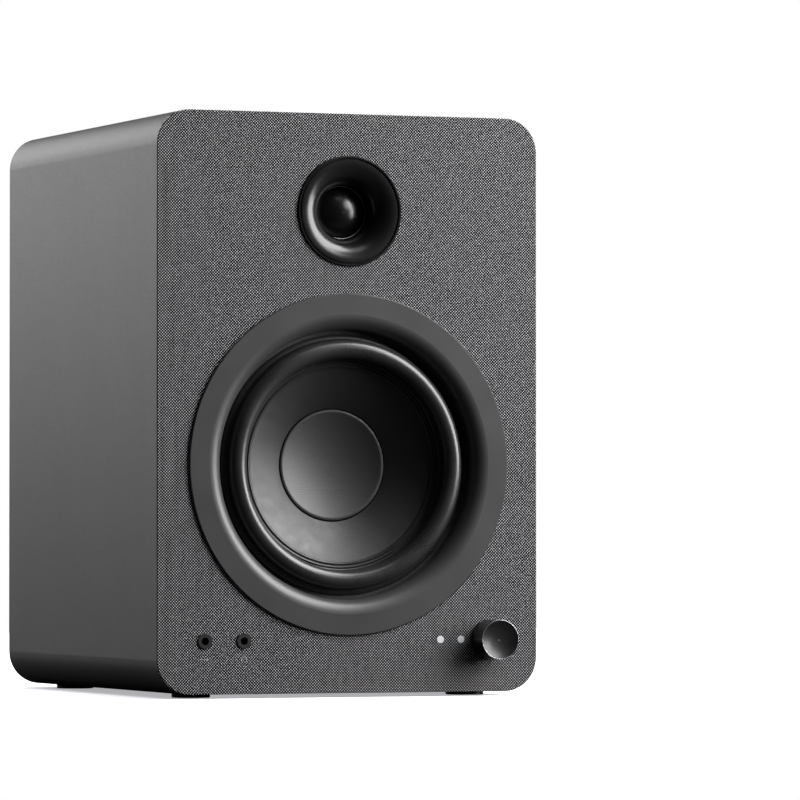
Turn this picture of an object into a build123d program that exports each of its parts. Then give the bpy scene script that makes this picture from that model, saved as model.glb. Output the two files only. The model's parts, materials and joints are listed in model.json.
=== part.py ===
from build123d import *
import math
import os

# Powered two-way bookshelf speaker, in millimetres.
# +Z is up, the front faces -Y, and +X is to the right seen from the front.
# The origin is under the middle of the overall box, on the surface it stands on.
# "Depth" is measured from the front face into the cabinet, along +Y.

# ---------------------------------------------------------------- cabinet
cabinet_width = 190.0
cabinet_height = 270.0
cabinet_depth = 218.0
corner_radius = 16.0
panel_thickness = 12.0
foot_height = 2.0
foot_radius = 9.0
foot_inset = 26.0
skin_thickness = 1.0
baffle_thickness = 15.0
knob_reach = 13.0
terminal_reach = 11.0

front_y = -(cabinet_depth + knob_reach + terminal_reach) / 2 + knob_reach
middle_z = foot_height + cabinet_height / 2
inner_width = cabinet_width - 2 * panel_thickness
inner_height = cabinet_height - 2 * panel_thickness
inner_corner = corner_radius - panel_thickness
floor_z = foot_height + panel_thickness
baffle_back = skin_thickness + baffle_thickness
rear_panel_front = cabinet_depth - panel_thickness
brace_depth = 95.0
brace_window_width = 130.0
brace_window_height = 190.0
lining_depth = 24.0
lining_thickness = 8.0
lining_gap = 0.3
brace_window_corner = 10.0
back_corner_fillet = 1.2

# ---------------------------------------------------------------- bass port
port_z = 224.0
port_radius = 20.0
port_wall = 2.5
port_flange_radius = 30.0
port_flange_thickness = 2.0
port_length = 105.0
port_flare = 5.0

# ---------------------------------------------------------------- woofer
woofer_z = foot_height + 106.4
recess_radius = 76.5
recess_depth = 7.0
woofer_hole_radius = 67.5
ring_radius = 79.8
ring_band_radius = 69.8
ring_mouth_radius = 62.8
ring_proud = 1.3
flange_radius = 75.5
flange_depth = 3.0
flange_thickness = 3.0
woofer_screw_circle = 72.0
woofer_screw_count = 8
woofer_screw_radius = 1.6
woofer_screw_clearance = 2.0
woofer_screw_head = 2.7
woofer_head_depth = 1.2
woofer_screw_length = 12.0
woofer_pilot_depth = 8.5
basket_can_radius = 67.0
basket_bore = 65.0
basket_can_back = 12.0
basket_neck_front = 36.5
basket_ring_front = 48.0
skin_clearance = 0.5
slot_width = 0.7
slot_length = 3.2
slot_depth = 1.0
ledge_depth = 9.0
ledge_radius = 56.5
surround_radius = 61.0
surround_thickness = 0.8
roll_outer = 58.4
roll_inner = 49.4
roll_crest_depth = 1.0
cone_rim_radius = 49.2
cone_edge_radius = 45.5
cone_edge_depth = 12.0
cap_radius = 26.2
cap_edge_depth = 21.9
cap_sag = 5.3
cone_waist_depth = 22.5
cone_neck_depth = 31.0
cone_wall = 0.9
former_outer = 13.0
former_inner = 12.7
former_front = 28.0
former_back = 60.0
winding_radius = 13.8
winding_front = 48.5
winding_length = 10.0
spider_depth = 34.0
spider_outer = 41.0
spider_waves = 5
top_plate_depth = 50.5
top_plate_thickness = 5.5
top_plate_radius = 40.0
gap_radius = 14.6
magnet_radius = 42.5
magnet_bore = 18.0
magnet_thickness = 14.0
pole_radius = 12.2
pole_vent_radius = 4.0
yoke_radius = 39.0
yoke_thickness = 5.0
magnet_depth = top_plate_depth + top_plate_thickness
yoke_depth = magnet_depth + magnet_thickness

# ---------------------------------------------------------------- tweeter
tweeter_z = foot_height + 224.5
bezel_radius = 26.0
barrel_radius = 23.8
barrel_bore = 20.4
barrel_back = 23.0
horn_mouth_radius = 23.2
horn_lip_proud = 0.7
throat_radius = 12.4
throat_depth = 11.4
throat_back = 12.2
dome_radius = 12.3
dome_edge_depth = 13.0
dome_sag = 5.0
dome_wall = 0.3
tweeter_pole_radius = 11.8
tweeter_gap_radius = 13.5
tweeter_cup_radius = 18.0
tweeter_cup_front = 15.5
tweeter_pole_front = 16.0
tweeter_pole_thickness = 2.5
tweeter_magnet_radius = 11.2
tweeter_magnet_thickness = 4.5
tweeter_cup_floor = 3.5
chamber_back = 36.0
chamber_wall = 2.4
lock_ring_radius = 29.0
lock_ring_thickness = 5.0
lock_notch_width = 3.0
lock_notch_depth = 5.0
solder_tab_x = 6.0
solder_tab_length = 5.0

# ---------------------------------------------------------------- front controls
control_z = foot_height + 24.6
aux_x = -71.6
headphone_x = -52.4
jack_bore_radius = 1.8
jack_bush_radius = 3.0
jack_bezel_radius = 3.6
jack_bezel_proud = 0.6
jack_body_width = 11.0
jack_bore_depth = 13.0
light_x = (45.9, 56.3)
light_radius = 1.7
light_proud = 0.2
knob_x = 71.0
knob_radius = 9.4
knob_gap = 0.6
knob_dish = 1.6
knob_hollow_radius = 7.2
knob_hollow_depth = 4.0
shaft_radius = 3.0
shaft_front = -10.5
shaft_back = 9.0
bushing_radius = 3.5
bushing_front = -2.2
nut_thickness = 2.0
pot_width = 15.0
pot_front = 4.0
pot_back = 14.0
pocket_front = 4.0
pocket_height = 21.5
jack_pocket_width = 34.0
control_pocket_width = 40.0
pocket_z = floor_z + 2.0 + pocket_height / 2
jack_board_x = -62.0
control_board_x = 60.0
board_bottom = floor_z + 1.0
board_height = 31.0
jack_board_width = 38.0
control_board_width = 43.0
board_front = 16.4
board_thickness = 1.6
board_screw_z = floor_z + 28.0
board_screw_offset = 14.0
board_screw_radius = 1.2
board_screw_clearance = 1.4
board_screw_head = 2.6
board_screw_head_height = 1.6
board_screw_length = 9.0
board_pilot_depth = 8.0
light_chip_height = 0.9
light_pipe_skirt = 0.6
wiper_radius = 5.6
wiper_thickness = 1.2
wiper_chamber_radius = 6.0
wiper_chamber_depth = 2.0
wiper_gap = 0.3
nut_size = 5.5
index_dot_radius = 0.4
index_dot_depth = 0.9
index_dot_inset = 1.5

# ---------------------------------------------------------------- rear panel and electronics
plate_width = 124.0
plate_height = 156.0
plate_z = 100.0
plate_corner = 6.0
plate_thickness = 2.0
gasket_thickness = 1.0
opening_width = 106.0
opening_height = 138.0
plate_front = cabinet_depth + gasket_thickness
plate_back = plate_front + plate_thickness
plate_screw_x = 57.0
plate_screw_z = 73.0
plate_screw_radius = 1.5
plate_screw_clearance = 1.8
plate_screw_head_radius = 3.0
plate_slot_width = 0.8
plate_slot_length = 3.4
plate_slot_depth = 0.9
amp_board_depth = 190.0
amp_board_width = 100.0
amp_board_bottom = 54.0
amp_board_top = 164.0
standoff_radius = 3.0
standoff_x = 45.0
standoff_z = (59.0, 159.0)
standoff_screw_radius = 1.4
standoff_screw_clearance = 1.5
standoff_screw_head = 2.6
standoff_screw_length = 7.0
standoff_slot_length = 3.0
rca_x = (-38.0, -20.0)
rca_z = 150.0
rca_radius = 4.15
rca_neck_radius = 3.9
rca_collar = 1.2
rca_collar_width = 2.4
rca_shell_reach = 8.0
rca_inner_reach = 6.0
rca_insulator_setback = 0.6
rca_shell_bore = 3.5
rca_pin_bore = 1.7
clip_block_x = 19.0
clip_block_z = 148.0
clip_block_width = 44.0
clip_block_height = 34.0
clip_flange = 2.0
clip_offset = 11.0
clip_lever_width = 12.0
clip_window_width = 13.0
clip_window_height = 19.0
clip_window_drop = 2.3
clip_pivot_z = clip_block_z + 9.0
clip_pivot_depth = plate_back - 3.0
clip_pin_length = clip_lever_width + 3.0
clip_hole_radius = 2.2
clip_hole_drop = 11.5
clip_pin_radius = 1.0
clip_pivot_boss = 1.8
clip_wire_depth = 10.0
clip_body_reach = 10.0
clip_wall = 1.5
pin_clearance = 0.05
switch_x = 28.0
switch_z = 44.0
switch_width = 15.0
switch_height = 21.0
rocker_width = 10.6
rocker_radius = 8.2
rocker_tilt = 8.0
inlet_x = -24.0
inlet_z = 44.0
inlet_width = 30.0
inlet_height = 17.0
inlet_flange = 1.5
inlet_pitch = 8.6
inlet_socket_width = 7.6
inlet_socket_depth = 12.0
inlet_pin_radius = 1.2
inlet_pin_setback = 2.0
inlet_body_wall = 4.0
transformer_x = -30.0
transformer_depth = 148.0
transformer_radius = 35.0
transformer_bore = 11.0
transformer_height = 30.0
transformer_bolt_radius = 2.5
transformer_bolt_grip = 8.0
transformer_corner = 6.0
clamp_radius = 26.0
clamp_thickness = 1.5
clamp_nut_size = 4.6
clamp_nut_height = 4.0
lead_radius = 0.9
lead_bend = 12.0
header_height = 3.0
header_drop = 44.0
header_x = 10.0
tweeter_header_x = 36.0
tweeter_header_drop = 8.0
lead_pitch = 2.5

front_corner_fillet = 0.45

front_axis = Axis((0, front_y, woofer_z), (0, 1, 0))
tweeter_axis = Axis((0, front_y, tweeter_z), (0, 1, 0))
knob_axis = Axis((knob_x, front_y, control_z), (0, 1, 0))


def face_plane(depth, x=0.0, z=0.0):
    """A plane parallel to the front face, its own x to the right and its own y up."""
    return Plane(origin=(x, front_y + depth, z), x_dir=(1, 0, 0), z_dir=(0, -1, 0))


def section_plane(x, z):
    """A level plane through a round part's axis: its own x is radius, its own y is depth."""
    return Plane(origin=(x, front_y, z), x_dir=(1, 0, 0), z_dir=(0, 0, 1))


def side_plane(x):
    """A plane across the speaker: its own x is depth, its own y is height."""
    return Plane(origin=(x, front_y, 0), x_dir=(0, 1, 0), z_dir=(1, 0, 0))


def bowl_depth(radius, rim_radius, rim_depth, sag):
    """Depth of a spherical bowl's wall at a radius, from its rim and how deep its middle is."""
    sphere = (rim_radius**2 + sag**2) / (2 * sag)
    return rim_depth + math.sqrt(sphere**2 - radius**2) - (sphere - sag)


def finish(piece, name):
    """Name a finished piece and write its file."""
    piece.part.label = name
    export_step(piece.part, f"parts/{name}.step")


os.makedirs("parts", exist_ok=True)

# ================================================================ cabinet

# Four rounded walls in one wrap, closed by the baffle in front and the panel behind.
with BuildPart() as cabinet_shell:
    with BuildSketch(face_plane(skin_thickness, z=middle_z)):
        RectangleRounded(cabinet_width, cabinet_height, corner_radius)
        RectangleRounded(inner_width, inner_height, inner_corner, mode=Mode.SUBTRACT)
    extrude(amount=-(cabinet_depth - skin_thickness))
    back_edges = cabinet_shell.faces().sort_by(Axis.Y)[-1].outer_wire().edges()
    fillet(back_edges, radius=back_corner_fillet)
    with BuildSketch(Plane.XY.offset(floor_z)):
        with Locations((transformer_x, front_y + transformer_depth)):
            Circle(transformer_bolt_radius)
    extrude(amount=-transformer_bolt_grip, mode=Mode.SUBTRACT)
finish(cabinet_shell, "cabinet_shell")

# Structural front board, let into the wrap, with a rebate for the woofer and pockets for boards.
with BuildPart() as front_baffle:
    with BuildSketch(face_plane(skin_thickness, z=middle_z)):
        RectangleRounded(inner_width, inner_height, inner_corner)
    extrude(amount=-baffle_thickness)
    with BuildSketch(face_plane(skin_thickness, z=woofer_z)):
        Circle(recess_radius)
    extrude(amount=-(recess_depth - skin_thickness), mode=Mode.SUBTRACT)
    with BuildSketch(face_plane(skin_thickness, z=woofer_z)):
        Circle(woofer_hole_radius)
    extrude(amount=-baffle_thickness, mode=Mode.SUBTRACT)
    with BuildSketch(face_plane(skin_thickness, z=tweeter_z)):
        Circle(barrel_radius)
    extrude(amount=-baffle_thickness, mode=Mode.SUBTRACT)
    with BuildSketch(face_plane(pocket_front, z=pocket_z)):
        with Locations((jack_board_x, 0)):
            Rectangle(jack_pocket_width, pocket_height)
        with Locations((control_board_x, 0)):
            Rectangle(control_pocket_width, pocket_height)
    extrude(amount=-(baffle_back - pocket_front), mode=Mode.SUBTRACT)
    with BuildSketch(face_plane(skin_thickness, z=control_z)):
        with Locations((aux_x, 0), (headphone_x, 0)):
            Circle(jack_bush_radius)
        with Locations((light_x[0], 0), (light_x[1], 0)):
            Circle(light_radius)
        with Locations((knob_x, 0)):
            Circle(bushing_radius)
    extrude(amount=-(pocket_front - skin_thickness), mode=Mode.SUBTRACT)
    with BuildSketch(face_plane(baffle_back, z=board_screw_z)):
        for board_x in (jack_board_x, control_board_x):
            with Locations((board_x - board_screw_offset, 0), (board_x + board_screw_offset, 0)):
                Circle(board_screw_radius)
    extrude(amount=board_pilot_depth, mode=Mode.SUBTRACT)
    with BuildSketch(face_plane(recess_depth, z=woofer_z)):
        with PolarLocations(woofer_screw_circle, woofer_screw_count):
            Circle(woofer_screw_radius)
    extrude(amount=-woofer_pilot_depth, mode=Mode.SUBTRACT)
finish(front_baffle, "front_baffle")

# Thin textured face laminated over the baffle and the wrap's front edge.
with BuildPart() as baffle_skin:
    with BuildSketch(face_plane(0, z=middle_z)):
        RectangleRounded(cabinet_width, cabinet_height, corner_radius)
    extrude(amount=-skin_thickness)
    outline = baffle_skin.faces().sort_by(Axis.Y)[0].outer_wire().edges()
    fillet(outline, radius=front_corner_fillet)
    with BuildSketch(face_plane(0)):
        with Locations((0, woofer_z)):
            Circle(recess_radius + skin_clearance)
        with Locations((0, tweeter_z)):
            Circle(barrel_radius)
        with Locations((aux_x, control_z), (headphone_x, control_z)):
            Circle(jack_bush_radius)
        with Locations((light_x[0], control_z), (light_x[1], control_z)):
            Circle(light_radius)
        with Locations((knob_x, control_z)):
            Circle(bushing_radius)
    extrude(amount=-skin_thickness, mode=Mode.SUBTRACT)
finish(baffle_skin, "baffle_skin")

with BuildPart() as rear_panel:
    with BuildSketch(face_plane(rear_panel_front, z=middle_z)):
        RectangleRounded(inner_width, inner_height, inner_corner)
    extrude(amount=-panel_thickness)
    with BuildSketch(face_plane(rear_panel_front)):
        with Locations((0, plate_z)):
            Rectangle(opening_width, opening_height)
        with Locations((0, port_z)):
            Circle(port_radius + port_wall)
    extrude(amount=-panel_thickness, mode=Mode.SUBTRACT)
    with BuildSketch(face_plane(rear_panel_front, z=plate_z)):
        with GridLocations(2 * plate_screw_x, 2 * plate_screw_z, 2, 2):
            Circle(plate_screw_radius)
        with GridLocations(2 * plate_screw_x, 1, 2, 1):
            Circle(plate_screw_radius)
    extrude(amount=-panel_thickness, mode=Mode.SUBTRACT)
finish(rear_panel, "rear_panel")

# Window brace glued round the inside of the wrap.
with BuildPart() as internal_brace:
    with BuildSketch(face_plane(brace_depth, z=middle_z)):
        RectangleRounded(inner_width, inner_height, inner_corner)
        RectangleRounded(
            brace_window_width,
            brace_window_height,
            brace_window_corner,
            mode=Mode.SUBTRACT,
        )
    extrude(amount=-panel_thickness)
finish(internal_brace, "internal_brace")

# Soft felt that lines the four walls between the baffle and the brace.
with BuildPart() as damping_lining:
    with BuildSketch(face_plane(lining_depth, z=middle_z)):
        RectangleRounded(inner_width - 2 * lining_gap, inner_height - 2 * lining_gap, inner_corner)
        RectangleRounded(
            inner_width - 2 * lining_thickness,
            inner_height - 2 * lining_thickness,
            inner_corner,
            mode=Mode.SUBTRACT,
        )
    extrude(amount=-(brace_depth - lining_depth - 1))
finish(damping_lining, "damping_lining")

with BuildPart() as rubber_feet:
    with BuildSketch(Plane.XY):
        with Locations((0, front_y + cabinet_depth / 2)):
            with GridLocations(cabinet_width - 2 * foot_inset, cabinet_depth - 2 * foot_inset, 2, 2):
                Circle(foot_radius)
    extrude(amount=foot_height)
    fillet(rubber_feet.faces().group_by(Axis.Z)[0].edges(), radius=0.5)
finish(rubber_feet, "rubber_feet")

# Flared tuning tube, open at both ends, let in from behind.
port_inner_end = cabinet_depth - port_length
port_mouth = cabinet_depth + port_flange_thickness
with BuildPart() as bass_port_tube:
    with BuildSketch(section_plane(0, port_z)):
        with BuildLine():
            Line((port_radius, port_inner_end + port_wall), (port_radius, port_mouth - port_flare))
            JernArc((port_radius, port_mouth - port_flare), (0, 1), port_flare, -90)
            Polyline(
                (port_radius + port_flare, port_mouth),
                (port_flange_radius, port_mouth),
                (port_flange_radius, cabinet_depth),
                (port_radius + port_wall, cabinet_depth),
                (port_radius + port_wall, port_inner_end),
                (port_radius, port_inner_end + port_wall),
            )
        make_face()
    revolve(axis=Axis((0, front_y, port_z), (0, 1, 0)))
finish(bass_port_tube, "bass_port_tube")

# ================================================================ woofer

# Trim ring: a flat band, a rolled lip and a short skirt that reaches down to the surround.
lip_width = ring_band_radius - ring_mouth_radius
lip_height = lip_width + 0.2
skirt_outer = ring_mouth_radius + 2.0
with BuildPart() as woofer_trim_ring:
    with BuildSketch(section_plane(0, woofer_z)):
        with BuildLine():
            lip = EllipticalCenterArc(
                (ring_band_radius, lip_height - ring_proud),
                lip_width,
                lip_height,
                start_angle=180,
                arc_size=90,
            )
            Polyline(
                lip @ 1,
                (ring_radius - 0.6, -ring_proud),
                (ring_radius, -ring_proud + 0.6),
                (ring_radius, 0),
                (recess_radius + 0.4, 0),
                (recess_radius + 0.4, 0.8),
                (woofer_screw_circle - 3.0, 0.8),
                (skirt_outer, flange_depth - 0.1),
                (skirt_outer, ledge_depth - 0.5),
                (ring_mouth_radius, ledge_depth - 0.5),
                lip @ 0,
            )
        make_face()
    revolve(axis=front_axis)
finish(woofer_trim_ring, "woofer_trim_ring")

# Cast basket: mounting flange, stepped ledge for the surround, six legs and a rear ring.
leg_front = 14.0
leg_back = 32.0
with BuildPart() as woofer_basket:
    with BuildSketch(section_plane(0, woofer_z)):
        with BuildLine():
            Polyline(
                (basket_bore, flange_depth),
                (flange_radius, flange_depth),
                (flange_radius, flange_depth + flange_thickness),
                (basket_can_radius, flange_depth + flange_thickness),
                (basket_can_radius, basket_can_back),
                (basket_can_radius - 2.5, basket_can_back),
                (46.0, spider_depth),
                (46.0, basket_neck_front),
                (44.0, basket_ring_front),
                (44.0, top_plate_depth),
                (20.0, top_plate_depth),
                (20.0, basket_ring_front),
                (41.5, basket_ring_front),
                (43.5, basket_neck_front),
                (38.0, basket_neck_front),
                (38.0, spider_depth),
                (43.0, spider_depth),
                (61.5, basket_can_back),
                (ledge_radius, basket_can_back),
                (ledge_radius, ledge_depth),
                (basket_bore, ledge_depth),
                close=True,
            )
        make_face()
    revolve(axis=front_axis)
    with BuildSketch(face_plane(leg_front, z=woofer_z)):
        with PolarLocations(0, 6):
            with BuildLine():
                Polyline((10, -5), (70, -28), (70, 28), (10, 5), close=True)
            make_face()
    extrude(amount=-(leg_back - leg_front), mode=Mode.SUBTRACT)
    with BuildSketch(face_plane(flange_depth, z=woofer_z)):
        with PolarLocations(woofer_screw_circle, woofer_screw_count):
            Circle(woofer_screw_clearance)
    extrude(amount=-flange_thickness, mode=Mode.SUBTRACT)
finish(woofer_basket, "woofer_basket")

with BuildPart() as woofer_gasket:
    with BuildSketch(face_plane(flange_depth + flange_thickness, z=woofer_z)):
        Circle(flange_radius)
        Circle(woofer_hole_radius + 0.3, mode=Mode.SUBTRACT)
        with PolarLocations(woofer_screw_circle, woofer_screw_count):
            Circle(woofer_screw_clearance, mode=Mode.SUBTRACT)
    extrude(amount=-(recess_depth - flange_depth - flange_thickness))
finish(woofer_gasket, "woofer_gasket")

# Pan-head wood screws with a cross slot, hidden under the trim ring.
with BuildPart() as woofer_screws:
    with BuildSketch(face_plane(woofer_head_depth, z=woofer_z)):
        with PolarLocations(woofer_screw_circle, woofer_screw_count):
            Circle(woofer_screw_head)
    extrude(amount=-(flange_depth - woofer_head_depth))
    with BuildSketch(face_plane(flange_depth, z=woofer_z)):
        with PolarLocations(woofer_screw_circle, woofer_screw_count):
            Circle(woofer_screw_radius)
    extrude(amount=-woofer_screw_length)
    with BuildSketch(face_plane(woofer_head_depth, z=woofer_z)):
        with PolarLocations(woofer_screw_circle, woofer_screw_count):
            Rectangle(slot_length, slot_width)
            Rectangle(slot_width, slot_length)
    extrude(amount=-slot_depth, mode=Mode.SUBTRACT)
finish(woofer_screws, "woofer_screws")

# Rubber surround: glued outer flange, one tall half roll, and an inner flange with two beads.
roll_radius = (roll_outer - roll_inner) / 2
roll_shoulder = roll_crest_depth + roll_radius
rubber = 1.1
inner_flange_front = 10.7
inner_flange_back = 11.6
bead_radii = (46.4, 48.0)
bead_size = 0.45
with BuildPart() as woofer_surround:
    with BuildSketch(section_plane(0, woofer_z)):
        with BuildLine():
            Polyline(
                (roll_outer, roll_shoulder),
                (roll_outer, ledge_depth - surround_thickness),
                (surround_radius, ledge_depth - surround_thickness),
                (surround_radius, ledge_depth),
                (roll_outer - rubber, ledge_depth),
                (roll_outer - rubber, roll_shoulder),
            )
            JernArc((roll_outer - rubber, roll_shoulder), (0, -1), roll_radius - rubber, -180)
            Polyline(
                (roll_inner + rubber, roll_shoulder),
                (roll_inner + rubber, inner_flange_back),
                (cone_edge_radius, inner_flange_back),
                (cone_edge_radius, inner_flange_front),
                (roll_inner, inner_flange_front),
                (roll_inner, roll_shoulder),
            )
            JernArc((roll_inner, roll_shoulder), (0, -1), roll_radius, 180)
        make_face()
        with Locations((bead_radii[0], inner_flange_front), (bead_radii[1], inner_flange_front)):
            Circle(bead_size)
    revolve(axis=front_axis)
finish(woofer_surround, "woofer_surround")

# Flared paper cone, from a flat glued rim down to the neck on the voice coil.
with BuildPart() as woofer_cone:
    with BuildSketch(section_plane(0, woofer_z)):
        with BuildLine():
            Polyline(
                (cone_edge_radius, inner_flange_back),
                (cone_rim_radius, inner_flange_back),
                (cone_rim_radius, inner_flange_back + cone_wall),
                (cone_edge_radius - 0.4, cone_edge_depth + cone_wall),
            )
            ThreePointArc(
                (cone_edge_radius - 0.4, cone_edge_depth + cone_wall),
                (cap_radius, cone_waist_depth + cone_wall),
                (former_outer, cone_neck_depth + cone_wall),
            )
            Line((former_outer, cone_neck_depth + cone_wall), (former_outer, cone_neck_depth))
            ThreePointArc(
                (former_outer, cone_neck_depth),
                (cap_radius, cone_waist_depth),
                (cone_edge_radius, inner_flange_back),
            )
        make_face()
    revolve(axis=front_axis)
finish(woofer_cone, "woofer_cone")

# Inward-dished dust cap over the neck.
cap_wall = 0.45
with BuildPart() as woofer_dust_cap:
    with BuildSketch(section_plane(0, woofer_z)):
        with BuildLine():
            mid_radius = cap_radius / 2
            mid_depth = bowl_depth(mid_radius, cap_radius, cap_edge_depth, cap_sag)
            ThreePointArc(
                (cap_radius, cap_edge_depth),
                (mid_radius, mid_depth),
                (0, cap_edge_depth + cap_sag),
            )
            Line((0, cap_edge_depth + cap_sag), (0, cap_edge_depth + cap_sag + cap_wall))
            ThreePointArc(
                (0, cap_edge_depth + cap_sag + cap_wall),
                (mid_radius, mid_depth + cap_wall),
                (cap_radius, cap_edge_depth + cap_wall),
            )
            Line((cap_radius, cap_edge_depth + cap_wall), (cap_radius, cap_edge_depth))
        make_face()
    revolve(axis=front_axis)
finish(woofer_dust_cap, "woofer_dust_cap")

with BuildPart() as voice_coil_former:
    with BuildSketch(face_plane(former_front, z=woofer_z)):
        Circle(former_outer)
        Circle(former_inner, mode=Mode.SUBTRACT)
    extrude(amount=-(former_back - former_front))
finish(voice_coil_former, "voice_coil_former")

with BuildPart() as voice_coil_winding:
    with BuildSketch(face_plane(winding_front, z=woofer_z)):
        Circle(winding_radius)
        Circle(former_outer, mode=Mode.SUBTRACT)
    extrude(amount=-winding_length)
finish(voice_coil_winding, "voice_coil_winding")

# Corrugated cloth spider: alternate arcs make the waves, front line and back line alike.
spider_cloth = 0.7
spider_inner_flat = former_outer + 2.0
spider_outer_flat = 37.4
wave_pitch = (spider_outer_flat - spider_inner_flat) / (2 * spider_waves)
wave_height = 1.3
with BuildPart() as woofer_spider:
    with BuildSketch(section_plane(0, woofer_z)):
        with BuildLine():
            for line_depth in (spider_depth - spider_cloth, spider_depth):
                for wave in range(2 * spider_waves):
                    start = spider_inner_flat + wave * wave_pitch
                    side = wave_height if wave % 2 else -wave_height
                    ThreePointArc(
                        (start, line_depth),
                        (start + wave_pitch / 2, line_depth + side),
                        (start + wave_pitch, line_depth),
                    )
            for flat_start, flat_end in (
                (former_outer, spider_inner_flat),
                (spider_outer_flat, spider_outer),
            ):
                Line((flat_start, spider_depth - spider_cloth), (flat_end, spider_depth - spider_cloth))
                Line((flat_start, spider_depth), (flat_end, spider_depth))
            for end_radius in (former_outer, spider_outer):
                Line((end_radius, spider_depth - spider_cloth), (end_radius, spider_depth))
        make_face()
    revolve(axis=front_axis)
finish(woofer_spider, "woofer_spider")

with BuildPart() as woofer_top_plate:
    with BuildSketch(face_plane(top_plate_depth, z=woofer_z)):
        Circle(top_plate_radius)
        Circle(gap_radius, mode=Mode.SUBTRACT)
    extrude(amount=-top_plate_thickness)
finish(woofer_top_plate, "woofer_top_plate")

with BuildPart() as woofer_magnet:
    with BuildSketch(face_plane(magnet_depth, z=woofer_z)):
        Circle(magnet_radius)
        Circle(magnet_bore, mode=Mode.SUBTRACT)
    extrude(amount=-magnet_thickness)
    magnet_rims = woofer_magnet.edges().filter_by(GeomType.CIRCLE).sort_by(SortBy.RADIUS)[-2:]
    chamfer(magnet_rims, length=1.0)
finish(woofer_magnet, "woofer_magnet")

# Back plate and vented pole in one piece.
with BuildPart() as woofer_yoke:
    with BuildSketch(face_plane(yoke_depth, z=woofer_z)):
        Circle(yoke_radius)
    extrude(amount=-yoke_thickness)
    with BuildSketch(face_plane(top_plate_depth, z=woofer_z)):
        Circle(pole_radius)
    extrude(amount=-(yoke_depth - top_plate_depth))
    with BuildSketch(face_plane(top_plate_depth, z=woofer_z)):
        Circle(pole_vent_radius)
    extrude(amount=-(yoke_depth + yoke_thickness - top_plate_depth), mode=Mode.SUBTRACT)
finish(woofer_yoke, "woofer_yoke")

# Terminal strip on the basket's rear ring, with two spade tabs that point down.
terminal_z = woofer_z - 45.0
terminal_depth = 45.0
terminal_thickness = 1.6
terminal_tab_x = 7.0
terminal_tab_length = 8.0
with BuildPart() as woofer_terminals:
    with BuildSketch(Plane(origin=(0, front_y + terminal_depth, terminal_z), z_dir=(0, 0, -1))):
        Rectangle(24, 5)
    extrude(amount=terminal_thickness)
    strip_underside = terminal_z - terminal_thickness
    with BuildSketch(Plane(origin=(0, front_y + terminal_depth, strip_underside), z_dir=(0, 0, -1))):
        with Locations((-terminal_tab_x, 0), (terminal_tab_x, 0)):
            Rectangle(4.8, 0.8)
    extrude(amount=terminal_tab_length)
finish(woofer_terminals, "woofer_terminals")

# ================================================================ tweeter

# Faceplate, horn and barrel in one moulding: a double rim, then a lip that rolls in to the throat.
with BuildPart() as tweeter_waveguide:
    with BuildSketch(section_plane(0, tweeter_z)):
        with BuildLine():
            Polyline(
                (bezel_radius, 0),
                (bezel_radius, -0.4),
                (bezel_radius - 0.5, -0.9),
                (bezel_radius - 1.1, -0.9),
                (bezel_radius - 1.3, -0.1),
                (bezel_radius - 1.8, -0.1),
                (bezel_radius - 2.0, -horn_lip_proud),
                (horn_mouth_radius, -horn_lip_proud),
            )
            EllipticalCenterArc(
                (horn_mouth_radius, throat_depth),
                horn_mouth_radius - throat_radius,
                throat_depth + horn_lip_proud,
                start_angle=180,
                arc_size=90,
            )
            Polyline(
                (throat_radius, throat_depth),
                (throat_radius, throat_back),
                (barrel_bore, throat_back),
                (barrel_bore, barrel_back),
                (barrel_radius, barrel_back),
                (barrel_radius, 0),
                (bezel_radius, 0),
            )
        make_face()
    revolve(axis=tweeter_axis)
finish(tweeter_waveguide, "tweeter_waveguide")

# Threaded ring that draws the waveguide against the baffle from inside.
with BuildPart() as tweeter_lock_ring:
    with BuildSketch(face_plane(baffle_back, z=tweeter_z)):
        Circle(lock_ring_radius)
        Circle(barrel_radius, mode=Mode.SUBTRACT)
        with PolarLocations(lock_ring_radius, 6):
            Rectangle(lock_notch_width, lock_notch_depth, mode=Mode.SUBTRACT)
    extrude(amount=-lock_ring_thickness)
finish(tweeter_lock_ring, "tweeter_lock_ring")

with BuildPart() as tweeter_dome:
    with BuildSketch(section_plane(0, tweeter_z)):
        with BuildLine():
            half_radius = dome_radius / 2
            half_depth = 2 * dome_edge_depth - bowl_depth(
                half_radius, dome_radius, dome_edge_depth, dome_sag
            )
            apex_depth = dome_edge_depth - dome_sag
            ThreePointArc((dome_radius, dome_edge_depth), (half_radius, half_depth), (0, apex_depth))
            Line((0, apex_depth), (0, apex_depth + dome_wall))
            ThreePointArc(
                (0, apex_depth + dome_wall),
                (half_radius, half_depth + dome_wall),
                (dome_radius, dome_edge_depth + dome_wall),
            )
            Line((dome_radius, dome_edge_depth + dome_wall), (dome_radius, dome_edge_depth))
        make_face()
    revolve(axis=tweeter_axis)
finish(tweeter_dome, "tweeter_dome")

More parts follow.
